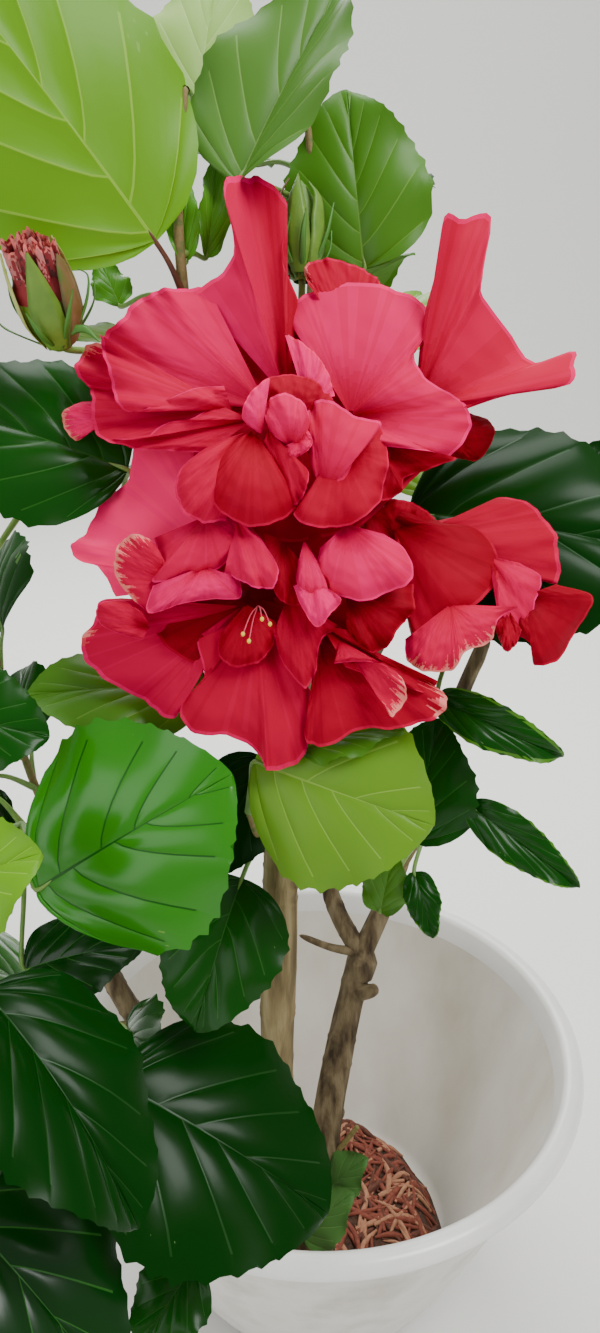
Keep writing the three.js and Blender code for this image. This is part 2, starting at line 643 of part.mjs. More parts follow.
function bloomSolid(bloom) {
  const heart = seen(bloom.heart);
  const axis = vec(...bloom.facing).normalize();
  const back = heart.clone().addScaledVector(axis, -CALYX.long);
  const joint = vec(...bloom.joint);
  const elbow = back.clone().lerp(joint, 0.4).addScaledVector(axis, -6);
  const petals = petalsOf(bloom).flatMap((petal) => {
    const rows = petal.small ? SMALL_ROWS : PETAL_ROWS;
    const columns = evenly(petal.small ? 3 : petal.rim.length - 1);
    const inside = petalPoint(petal, 0.3, 0);
    const claw = tube([heart, inside], CLAW, 3, 1);
    return [claw, blade((u, v) => petalPoint(petal, u, v), rows, columns, PETAL_THICKNESS)];
  });
  const front = heart.clone().addScaledVector(axis, CALYX.behind);
  const calyx = spindle(back, front, CALYX.thick, [0.3, 0.8, 1, 1.1, 0.5]);
  const stalk = tube([joint, elbow, back, back.clone().addScaledVector(axis, 4)], [2.2, 1.9, 2, 2.2], 5, 6);
  return [...petals, calyx, stalk];
}

function budSolid(bud) {
  const tip = seen(bud.tip);
  const path = bud.stalk.map(seen);
  const foot = path[path.length - 1];
  const end = foot.clone().lerp(tip, bud.long / foot.distanceTo(tip));
  const stalk = tube([vec(...bud.from), ...path, foot.clone().lerp(end, 0.1)], [2.2, 1.6, 1.6, 2], 5, 6);
  return [stalk, spindle(foot, end, bud.thick, bud.shape)];
}

// The pot: an open basin with a rolled rim, and the soil heaped in its bottom toward the front
function wallRadius(z) {
  return POT.footRadius + (POT.rimRadius - POT.lip - POT.footRadius) * (z / POT.height) ** POT.swell;
}

function lathe(profile, segments) {
  const points = profile.map(([x, y]) => new THREE.Vector2(x, y));
  const turned = new THREE.LatheGeometry([...points, points[0]], segments);
  return fromGeometry(turned.toNonIndexed().rotateX(Math.PI / 2));
}

const POT_SEGMENTS = 30;
const WALL_HEIGHTS = [10, 34, 72, 120, 166];

function potSolid() {
  const middle = POT.rimRadius - POT.lip;
  const outer = WALL_HEIGHTS.map((z) => [wallRadius(z), z]);
  const inner = outer.map(([r, z]) => [r - POT.wall, z]).reverse();
  const roll = [-45, 10, 60, 110, 160].map((a) => [
    middle + POT.lip * Math.cos(radians(a)),
    POT.height - POT.lip + POT.lip * Math.sin(radians(a)),
  ]);
  const under = [[0, 0], [POT.footRadius - 3, 0]];
  const floor = [[wallRadius(POT.floor) - POT.wall - 4, POT.floor], [0, POT.floor]];
  return lathe([...under, ...outer, ...roll, ...inner, ...floor], POT_SEGMENTS);
}

function soilSolid() {
  const low = POT.floor + GAP;
  const lowRadius = wallRadius(POT.floor) - POT.wall - 4 - GAP;
  const wall = WALL_HEIGHTS.slice(0, 3).map((z) => [wallRadius(z) - POT.wall - GAP, z]);
  const bowl = lathe([[0, low], [lowRadius, low], ...wall, [0, WALL_HEIGHTS[2]]], POT_SEGMENTS);
  const bank = [[SOIL.bankRadius, 1], [SOIL.bankRadius - 3, 30], [SOIL.flatRadius, SOIL.level]];
  const heap = lathe([[0, 1], ...bank, [0, SOIL.level]], POT_SEGMENTS);
  return bowl.intersect(heap.translate([SOIL.x, SOIL.y, 0]));
}

// What a leaf must keep clear of: points with their own clearance, taken by what is already placed
const taken = [];
const LIMB_CLEAR = 9;
const LEAF_CLEAR = 13;
const OWN_CLEAR = 9;
const BLOOM_CLEAR = 12;
const STALK_CLEAR = 9;
const CROWN_TOP = 781;
const RIM_CLEAR = 201;

function claim(owner, points, clear) {
  points.forEach((p) => taken.push({ owner, p, clear }));
}

function bladeSamples(leaf) {
  const across = [-0.85, -0.4, 0, 0.4, 0.85];
  return [0.12, 0.36, 0.6, 0.84, 1].flatMap((u) => across.map((v) => leafPoint(leaf, u, v)));
}

function stalkSamples(leaf) {
  return [0.3, 0.5, 0.7, 0.9].map((t) => leaf.root.clone().lerp(leaf.foot, t));
}

// Gaps that the photograph shows between the leaves stay open: each is a box of pixels
const OPEN_SKY = [
  [440, -50, 620, 415],
  [330, -50, 620, 110],
  [25, 505, 115, 650],
  [440, 660, 620, 1340],
  [292, 890, 620, 1340],
  [262, 1230, 620, 1340],
];
const HIDDEN_DEPTH = 452;

function showsWhereOpen(p) {
  const { px, py, depth } = pixelOf(p);
  const within = ([x0, y0, x1, y1]) => px > x0 && px < x1 && py > y0 && py < y1;
  if (!within([-12, -12, FRAME_WIDTH + 12, FRAME_HEIGHT + 12])) return false;
  return depth < HIDDEN_DEPTH || OPEN_SKY.some(within);
}

function fits(owner, leaf) {
  const bladeClear = (p) => taken.every((t) => t.p.distanceTo(p) > (t.owner === owner ? OWN_CLEAR : t.clear));
  const stalkClear = (p) => taken.every((t) => t.owner === owner || t.p.distanceTo(p) > STALK_CLEAR);
  const inside = (p) => p.z < CROWN_TOP && p.z > RIM_CLEAR && !showsWhereOpen(p);
  return bladeSamples(leaf).every((p) => inside(p) && bladeClear(p)) && stalkSamples(leaf).every(stalkClear);
}

function claimLeaf(owner, leaf) {
  claim(owner, bladeSamples(leaf), LEAF_CLEAR);
  claim(owner, stalkSamples(leaf), STALK_CLEAR);
}

// The leaves of a mass that show, each on the nearest place of its twig
function listedLeaves(mass, twig) {
  return mass.leaves.map((leaf) => {
    const foot = seen(leaf.foot);
    const heading = seen(leaf.tip).sub(foot);
    const eye = vec(EYE.x, EYE.y, EYE.z).sub(foot).normalize();
    const face = eye.addScaledVector(UP, leaf.lean ?? 0.7);
    return aimed({ ...leaf, face, foot, heading, root: nearestOn(twig, foot), fine: leaf.long > 55 });
  });
}

// The rest of its leaves, which spiral up the twig wherever there is room
function addedLeaves(name, mass, twig) {
  const next = seeded(mass.filler.seed);
  const added = [];
  for (let i = 0; i < mass.filler.count * 3 && added.length < mass.filler.count; i += 1) {
    const t = mass.filler.from + (1 - mass.filler.from) * next();
    const root = twig.getPoint(t);
    const tangent = twig.getTangent(t);
    const spin = radians(i * GOLDEN_ANGLE + 30 * next());
    const first = tangent.clone().cross(Math.abs(tangent.z) > 0.9 ? vec(1, 0, 0) : UP).normalize();
    const outward = vec(root.x, root.y, 0).multiplyScalar(1 / 160);
    const heading = first.applyAxisAngle(tangent, spin)
      .addScaledVector(tangent, 0.5)
      .addScaledVector(outward, 0.6)
      .add(vec(0, 0, -0.25 + 0.3 * next()))
      .normalize();
    const long = 62 + 34 * next();
    const foot = root.clone().addScaledVector(heading, 20 + 22 * next()).addScaledVector(UP, 5);
    const face = UP.clone().multiplyScalar(0.9).addScaledVector(outward, 0.5);
    const [bend, roll, phase] = [24 + 24 * next(), -20 + 40 * next(), 6.28 * next()];
    const leaf = aimed({ foot, heading, root, face, long, bend, roll, phase });
    if (!fits(name, leaf)) continue;
    claimLeaf(name, leaf);
    added.push(leaf);
  }
  return added;
}

function nearestOn(twig, foot) {
  const places = Array.from({ length: 21 }, (_, i) => twig.getPoint(0.1 + 0.044 * i));
  return places.sort((a, b) => a.distanceTo(foot) - b.distanceTo(foot))[0].clone();
}

// Materials, one for each kind of surface
const finish = (color, roughness) => new THREE.MeshStandardMaterial({ color, roughness, metalness: 0 });
const LOOKS = {
  pot: finish(0xcfcabd, 0.55),
  soil: finish(0x7a4434, 0.95),
  bark: finish(0x8c7453, 0.85),
  leaf: finish(0x2f7a24, 0.4),
  petal: finish(0xd92b4b, 0.6),
  bud: finish(0x8a8a3c, 0.6),
};

const shrub = new THREE.Group();
const limbs = {};

function addLimb(name, points, radii) {
  const path = points.map((p) => vec(...p));
  const made = (grow) => tube(path, radii.map((r) => r + grow), STEM_SIDES);
  const aboveSoil = (limb) => limb.trimByPlane([0, 0, 1], SOIL.level + GAP);
  limbs[name] = { plain: aboveSoil(made(0)), grown: aboveSoil(made(GAP)) };
  const curve = curveOf(path);
  claim(name, Array.from({ length: 24 }, (_, i) => curve.getPoint(i / 23)), LIMB_CLEAR);
}

for (const [name, stem] of Object.entries(STEMS)) addLimb(name, stem.points, stem.radii);
for (const [name, bough] of Object.entries(BOUGHS)) addLimb(name, bough.points, bough.radii);

// Boughs are cut clear of the stem that they leave and of the boughs before them
const earlier = [];
for (const [name, limb] of Object.entries(limbs)) {
  const meets = (other) => other in STEMS || BOUGHS[other].from === BOUGHS[name].from;
  const before = name in BOUGHS ? earlier.filter(meets) : [];
  const cut = fuse([before.reduce((made, other) => made.subtract(limbs[other].grown), limb.plain)]);
  shrub.add(meshOf(name, cut, LOOKS.bark));
  earlier.push(name);
}

shrub.add(meshOf("pot", potSolid(), LOOKS.pot));
shrub.add(meshOf("soil", soilSolid(), LOOKS.soil));

const clearOfLimbs = (made) => {
  const left = Object.values(limbs).reduce((rest, limb) => rest.subtract(limb.grown), made);
  return fuse([left]);
};

for (const [name, bloom] of Object.entries(BLOOMS)) {
  shrub.add(meshOf(name, clearOfLimbs(fuse(bloomSolid(bloom))), LOOKS.petal));
  petalsOf(bloom).forEach((petal) => {
    const places = [0.4, 0.7, 1].flatMap((u) => evenly(4).map((v) => petalPoint(petal, u, v)));
    claim(name, places, BLOOM_CLEAR);
  });
}

for (const [name, bud] of Object.entries(BUDS)) {
  shrub.add(meshOf(name, clearOfLimbs(fuse(budSolid(bud))), LOOKS.bud));
  const path = curveOf([vec(...bud.from), ...bud.stalk.map(seen), seen(bud.tip)]);
  claim(name, Array.from({ length: 14 }, (_, i) => path.getPoint(i / 13)), LEAF_CLEAR);
}

const masses = Object.entries(MASSES).map(([name, mass]) => {
  const path = mass.twig.map((p) => vec(...p));
  return { name, mass, path, twig: curveOf(path) };
});
for (const { name, twig } of masses) {
  claim(name, Array.from({ length: 10 }, (_, i) => twig.getPoint(i / 9)), LEAF_CLEAR);
}
for (const item of masses) {
  item.leaves = listedLeaves(item.mass, item.twig);
  item.leaves.forEach((leaf) => claimLeaf(item.name, leaf));
}
for (const { name, mass, path, twig, leaves } of masses) {
  const twigSolid = tube(path, [2.4, 1.8, 1.2], 4, 5);
  const blades = [...leaves, ...addedLeaves(name, mass, twig)].flatMap(leafSolids);
  shrub.add(meshOf(name, clearOfLimbs(fuse([twigSolid, ...blades])), LOOKS.leaf));
}

export default shrub;
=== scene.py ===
"""Looks of a potted hibiscus shrub with large double blooms: bark, leaves, petals, buds, basin and soil.
Lengths are in millimetres, unless a comment says otherwise."""

import math

import bpy
import numpy as np
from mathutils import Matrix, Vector


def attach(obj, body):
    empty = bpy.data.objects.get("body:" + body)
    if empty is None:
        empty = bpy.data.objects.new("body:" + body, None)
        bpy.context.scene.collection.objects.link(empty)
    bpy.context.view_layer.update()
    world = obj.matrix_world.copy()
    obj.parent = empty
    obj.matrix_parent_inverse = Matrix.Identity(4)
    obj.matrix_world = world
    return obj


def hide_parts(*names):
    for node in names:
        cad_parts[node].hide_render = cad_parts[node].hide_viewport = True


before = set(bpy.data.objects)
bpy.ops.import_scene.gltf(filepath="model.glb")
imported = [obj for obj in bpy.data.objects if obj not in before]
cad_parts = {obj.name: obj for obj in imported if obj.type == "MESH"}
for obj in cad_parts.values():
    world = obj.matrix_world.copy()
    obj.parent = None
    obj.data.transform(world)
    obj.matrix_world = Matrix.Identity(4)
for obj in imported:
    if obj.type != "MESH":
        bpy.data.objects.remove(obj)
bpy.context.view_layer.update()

# Driving dimensions in millimetres, as the solids have them
POT = {"rim": 170, "height": 185, "foot": 88, "wall": 5, "floor": 6, "lip": 7, "swell": 0.8}
SOIL = {"level": 50, "x": -14, "y": -26, "flat": 84, "bank": 104}
LEAF_SHARE = 0.74
GOLDEN_ANGLE = 137.5
METRE = 0.001

# The eye of the reference photograph, with what shows placed by pixel and by distance in front of the eye
EYE = np.array([-12.0, -525.0, 655.0])
PITCH = 22
FOCAL = 1007
FRAME_WIDTH = 600
FRAME_HEIGHT = 1333
MIDDLE = (300, 666.5)
FILM = 24

UP = np.array([0.0, 0.0, 1.0])
ACROSS = np.array([1.0, 0.0, 0.0])
FORWARD = np.array([0.0, math.cos(math.radians(PITCH)), -math.sin(math.radians(PITCH))])
LIFT = np.array([0.0, math.sin(math.radians(PITCH)), math.cos(math.radians(PITCH))])


def unit(v):
    return v / np.linalg.norm(v)


def mix(a, b, share):
    return a + (b - a) * share


def smooth(low, high, x):
    share = np.clip((x - low) / (high - low), 0, 1)
    return share * share * (3 - 2 * share)


def even_shares(count):
    """Evenly spaced shares from 0 to 1."""
    return np.arange(count) / (count - 1)


def turned(v, axis, degrees):
    """v turned about a unit axis."""
    angle = math.radians(degrees)
    c, s = math.cos(angle), math.sin(angle)
    return v * c + np.cross(axis, v) * s + axis * (v @ axis) * (1 - c)


def seen(place):
    px, py, depth = place
    across = (px - MIDDLE[0]) / FOCAL * depth
    above = (MIDDLE[1] - py) / FOCAL * depth
    return EYE + ACROSS * across + FORWARD * depth + LIFT * above


def seeded(seed):
    """A function that gives the next of a fixed run of numbers from 0 to 1."""
    state = seed

    def following():
        nonlocal state
        state = (state * 1664525 + 1013904223) % 4294967296
        return state / 4294967296

    return following


# Curves, tubes and pieces
def curve_point(points, t):
    """Places on a centripetal Catmull-Rom curve through the points, t from 0 to 1."""
    points = np.asarray(points, float)
    ends = [2 * points[0] - points[1], *points, 2 * points[-1] - points[-2]]
    t = np.clip(np.atleast_1d(np.asarray(t, float)), 0, 1) * (len(points) - 1)
    low = np.minimum(t.astype(int), len(points) - 2)
    w = (t - low)[:, None]
    p0, p1, p2, p3 = (np.array([ends[i + k] for i in low]) for k in range(4))
    d0, d1, d2 = (np.linalg.norm(b - a, axis=1)[:, None] ** 0.5 for a, b in ((p0, p1), (p1, p2), (p2, p3)))
    m1 = ((p1 - p0) / d0 - (p2 - p0) / (d0 + d1) + (p2 - p1) / d1) * d1
    m2 = ((p2 - p1) / d1 - (p3 - p1) / (d1 + d2) + (p3 - p2) / d2) * d1
    c2 = -3 * p1 + 3 * p2 - 2 * m1 - m2
    c3 = 2 * p1 - 2 * p2 + m1 + m2
    return p1 + w * (m1 + w * (c2 + w * c3))


def curve_tangent(points, t):
    t = np.atleast_1d(np.asarray(t, float))
    step = curve_point(points, t + 0.0001) - curve_point(points, t - 0.0001)
    return step / np.linalg.norm(step, axis=1)[:, None]


RADIUS_SAMPLES = 61


def radius_at(radii, t):
    return np.interp(t, np.linspace(0, 1, len(radii)), radii)


class Pile:
    """Vertices and four-sided faces gathered for one piece, each face with its material's name."""

    def __init__(self):
        self.points, self.faces, self.looks, self.count = [], [], [], 0

    def add(self, points, faces, look):
        faces = np.asarray(faces)
        self.points.append(np.asarray(points, float))
        self.faces.append(faces + self.count)
        self.looks.extend([look] * len(faces) if isinstance(look, str) else look)
        self.count += len(points)

    def piece(self, name, slot, *nodes):
        """Makes the piece, which rides with the shrub and stands for the named solids."""
        mesh = bpy.data.meshes.new(name)
        points = np.concatenate(self.points) * METRE
        mesh.from_pydata(points.tolist(), [], np.concatenate(self.faces).tolist())
        used = sorted(set(self.looks))
        for look in used:
            mesh.materials.append(LOOKS[look])
        place = {look: i for i, look in enumerate(used)}
        mesh.polygons.foreach_set("material_index", [place[look] for look in self.looks])
        mesh.shade_smooth()
        made = bpy.data.objects.new(name, mesh)
        bpy.context.scene.collection.objects.link(made)
        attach(made, "root")
        if nodes:
            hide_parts(*nodes)


def grid_faces(rows, columns, closed=False):
    """Faces of a grid of points, row after row, whose rows may close on themselves."""
    i, k = np.meshgrid(np.arange(rows - 1), np.arange(columns if closed else columns - 1), indexing="ij")
    following = (k + 1) % columns
    corners = [i * columns + k, i * columns + following, (i + 1) * columns + following, (i + 1) * columns + k]
    return np.stack([c.ravel() for c in corners], axis=1)


def tube(points, radii, sides, steps, relief=None):
    """A tapering limb along a curve. relief(angle, t) adds to its radius, in millimetres."""
    t = np.linspace(0, 1, steps + 1)
    centre = curve_point(points, t)
    tangent = curve_tangent(points, t)
    angle = np.arange(sides) * 2 * np.pi / sides
    side = np.cross(tangent[0], ACROSS if abs(tangent[0][2]) > 0.9 else UP)
    rings = []
    for i in range(steps + 1):
        side = unit(side - tangent[i] * (side @ tangent[i]))
        other = np.cross(tangent[i], side)
        radius = radius_at(radii, t[i]) + (relief(angle, t[i]) if relief else 0 * angle)
        ring = centre[i] + np.outer(radius * np.cos(angle), side)
        rings.append(ring + np.outer(radius * np.sin(angle), other))
    return np.concatenate(rings), grid_faces(steps + 1, sides, closed=True)


def rounded_ends(radii, cap=0.012):
    """Radii along a limb, sampled finely, that close to a point over a last share of it."""
    t = np.linspace(0, 1, RADIUS_SAMPLES)
    close = np.sqrt(np.clip(1 - (np.clip((t - 1 + cap) / cap, 0, 1)) ** 2, 0.0004, 1))
    return radius_at(radii, t) * close


# Limbs, as the solids have them
def limb(points, radii):
    return {"points": points, "radii": radii}


STEMS = {
    "stem_front": limb([[-27, -82, 42], [-25, -107, 215], [-22, -122, 355], [-20, -112, 437]],
                       [12, 8.8, 8.6, 7.6]),
    "stem_back": limb([[-3, -66, 42], [4, -59, 165], [14, -46, 225], [24, -36, 273]],
                      [13, 9.4, 8, 7.6]),
    "stem_left": limb([[-74, -40, 42], [-96, -46, 195], [-124, -60, 290], [-138, -66, 365]],
                      [10, 6.6, 5.6, 4.4]),
    "stem_rear": limb([[-28, 34, 42], [-28, 64, 235], [-24, 84, 375], [-18, 88, 455]],
                      [11, 7.6, 6.4, 5.4]),
}
BOUGHS = {
    "bough_upper_left": limb([[-20, -112, 437], [-46, -84, 495], [-66, -74, 565], [-60, -74, 631]],
                             [5.6, 4.6, 3.8, 3]),
    "bough_upper": limb([[-20, -112, 437], [-8, -84, 485], [-2, -66, 555], [-8, -60, 621]],
                        [5.2, 4.4, 3.6, 3]),
    "bough_right": limb([[24, -36, 273], [40, -30, 313], [62, -26, 395], [84, -40, 477]],
                        [6.2, 5.6, 4.6, 3.4]),
    "bough_back": limb([[24, -36, 273], [6, -27, 311], [0, 4, 395], [4, 26, 485]],
                       [5.6, 4.8, 4, 3.2]),
    "bough_rear_left": limb([[-24, 78, 335], [-62, 92, 395], [-92, 84, 455]],
                            [4.4, 3.8, 3]),
    "bough_rear_right": limb([[-25, 74, 305], [20, 100, 375], [56, 104, 445]],
                             [4.4, 3.8, 3]),
}


def at(foot, tip, long, wide, tint, **more):
    """A leaf that shows: foot and tip as [pixel x, pixel y, distance], then length, width and tint."""
    return {"foot": foot, "tip": tip, "long": long, "wide": wide, "tint": tint, **more}


def foliage(twig, seed, count, first, *leaves):
    """A mass of leaves: its twig, the seed and number of the leaves that grow on it from a share of its
    length on, and the leaves that show."""
    return {"twig": twig, "seed": seed, "count": count, "first": first, "leaves": leaves}


MASSES = {
    "leaves_top_left": foliage(
        [[-60, -74, 625], [-62, -72, 675], [-58, -62, 720]], 11, 5, 0.25,
        at([156, 242, 408], [-70, -50, 362], 146, 108, "lime", fold=6, bend=18, roll=-8, under=True,
           stalk_from=[187, 304, 425], stalk_look="stalk_brown"),
        at([196, 118, 455], [222, -60, 470], 76, 56, "pale"),
        at([186, 262, 420], [178, 178, 420], 44, 14, "fresh", fold=30),
        at([206, 258, 425], [214, 160, 428], 46, 15, "fresh", fold=30, roll=30),
        at([120, 306, 450], [104, 272, 455], 26, 18, "fresh"),
    ),
    "leaves_left": foliage(
        [[-56, -78, 533], [-92, -76, 555], [-128, -74, 570]], 23, 4, 0.45,
        at([128, 470, 428], [-100, 395, 418], 96, 74, "dark", roll=-6, bend=20),
        at([206, 690, 446], [19, 698, 432], 80, 52, "mid", roll=6),
        at([-76, 716, 402], [44, 736, 400], 52, 50, "dark", roll=10),
    ),
    "leaves_top": foliage(
        [[-8, -60, 615], [-6, -38, 675], [-10, -26, 725]], 37, 5, 0.3,
        at([238, 184, 415], [352, -30, 424], 100, 68, "bluish", fold=34, roll=-26, bend=14),
        at([364, 270, 446], [348, 103, 440], 78, 66, "mid", fold=10, roll=-4),
    ),
    "leaves_right": foliage(
        [[83, -39, 471], [72, -62, 515], [64, -66, 551]], 41, 4, 0.35,
        at([408, 512, 448], [690, 560, 432], 126, 106, "deep", roll=4, bend=22, fold=8),
        at([438, 698, 440], [557, 754, 432], 64, 21, "dark", bend=80, fold=24, roll=30, margin="leaf_mid"),
    ),
    "leaves_low_right": foliage(
        [[43, -30, 322], [52, -46, 356], [60, -62, 392], [62, -78, 420]], 43, 0, 0.5,
        at([414, 842, 452], [440, 722, 446], 58, 50, "dark", roll=-14, fold=8, lean=0.3),
        at([468, 804, 444], [572, 882, 436], 60, 21, "dark", bend=30, fold=22, roll=24, margin="leaf_mid"),
        at([414, 872, 500], [432, 937, 494], 34, 18, "dark", bend=46, fold=16, margin="leaf_mid"),
        at([380, 912, 510], [396, 846, 500], 36, 24, "mid", fold=16),
    ),
    "leaves_centre": foliage(
        [[-21, -118, 397], [-30, -138, 417], [-34, -150, 437]], 47, 0, 0.5,
        at([254, 762, 414], [424, 822, 398], 78, 84, "dull", fold=6, bend=20, roll=10, lean=0.1, belly=0.85),
        at([300, 746, 412], [394, 732, 402], 44, 27, "mid", roll=-20),
        at([242, 878, 446], [200, 1014, 440], 70, 58, "dark", bend=34, fold=16),
        at([262, 756, 452], [214, 872, 448], 58, 44, "deep", bend=20),
    ),
    "leaves_low_left": foliage(
        [[-137, -65, 357], [-142, -100, 395], [-140, -124, 415]], 53, 5, 0.1,
        at([36, 890, 416], [242, 768, 400], 98, 100, "bright", fold=6, bend=26, roll=6, lean=0.3, belly=0.95),
        at([-84, 900, 372], [48, 851, 362], 54, 56, "lime", roll=8),
        at([24, 970, 458], [140, 946, 454], 58, 44, "veined", bend=40),
    ),
    "leaves_bottom_left": foliage(
        [[-109, -53, 237], [-120, -96, 271], [-124, -130, 291]], 59, 3, 0.1,
        at([-16, 990, 386], [127, 1212, 372], 106, 78, "deep", fold=16, bend=32, roll=-24),
        at([112, 1080, 436], [324, 1212, 444], 114, 112, "deep", fold=8, bend=24, roll=-6, belly=0.8),
        at([-56, 1196, 400], [118, 1400, 396], 104, 86, "veined", bend=34, roll=-6),
        at([196, 1262, 452], [142, 1346, 440], 42, 36, "dark"),
    ),
    "leaves_foot": foliage(
        [[0, -64, 137], [12, -66, 153], [23, -66, 171]], 61, 0, 0.5,
        at([326, 1192, 610], [378, 1148, 596], 38, 30, "greyish"),
        at([304, 1236, 600], [362, 1185, 590], 44, 34, "greyish", bend=42),
    ),
    "leaves_far_left": foliage([[-138, -66, 364], [-158, -48, 410], [-172, -30, 460]], 67, 9, 0.15),
    "leaves_back": foliage([[4, 26, 484], [10, 34, 545], [18, 30, 610]], 71, 10, 0.1),
    "leaves_rear": foliage([[-18, 88, 454], [-24, 92, 515], [-40, 80, 585]], 73, 10, 0.1),
    "leaves_rear_left": foliage([[-92, 84, 454], [-118, 70, 505], [-132, 50, 555]], 79, 9, 0.1),
    "leaves_rear_right": foliage([[56, 104, 444], [96, 100, 490], [128, 78, 535]], 83, 10, 0.1),
    "leaves_far_right": foliage([[84, -40, 476], [124, -18, 505], [150, 14, 545]], 89, 7, 0.3),
}

# The buds. A curled bract is a path of [pixel x, pixel y, distance] and its widths
BUDS = {
    "bud_left": {
        "from": [-63, -74, 600],
        "stalk": [[120, 356, 438], [62, 346, 408]],
        "tip": [26, 236, 374],
        "long": 44,
        "thick": 11,
        "shape": [0.4, 0.82, 1, 1.06, 1.04, 0.75],
        "opened": 0.66,
        "petals": 12,
        "looks": ["sepal_yellow", "sepal_green", "sepal_brown"],
        "splay": 1.0,
        "bracts": 7,
        "curled": [
            ([[64, 344, 402], [80, 320, 398], [88, 292, 396], [87, 274, 396], [78, 269, 396]],
             [1.6, 1.4, 0.8, 0.3]),
            ([[60, 346, 400], [70, 332, 396], [84, 329, 396], [100, 342, 397]], [3, 3.4, 3, 0.4]),
        ],
        "seed": 4,
    },
    "bud_top": {
        "from": [-3, -68, 580],
        "stalk": [[302, 320, 436], [302, 282, 430]],
        "tip": [300, 182, 428],
        "long": 42,
        "thick": 9,
        "shape": [0.4, 0.8, 1, 0.95, 0.66, 0.25],
        "opened": 1.2,
        "petals": 0,
        "looks": ["sepal_green", "sepal_green", "sepal_brown"],
        "splay": 0.5,
        "bracts": 9,
        "curled": [],
        "seed": 9,
    },
}


# Each bloom's petals, with what shows placed by pixel and distance. A petal's tone is painted light and
# shade: low for petals in shade, high for lit ones
def fan(foot, away, belly, rim, **more):
    """A petal from its foot [pixel x, pixel y, distance] to a rim of pixels, with distances along the rim."""
    return {"foot": foot, "away": away, "belly": belly, "rim": rim, **more}


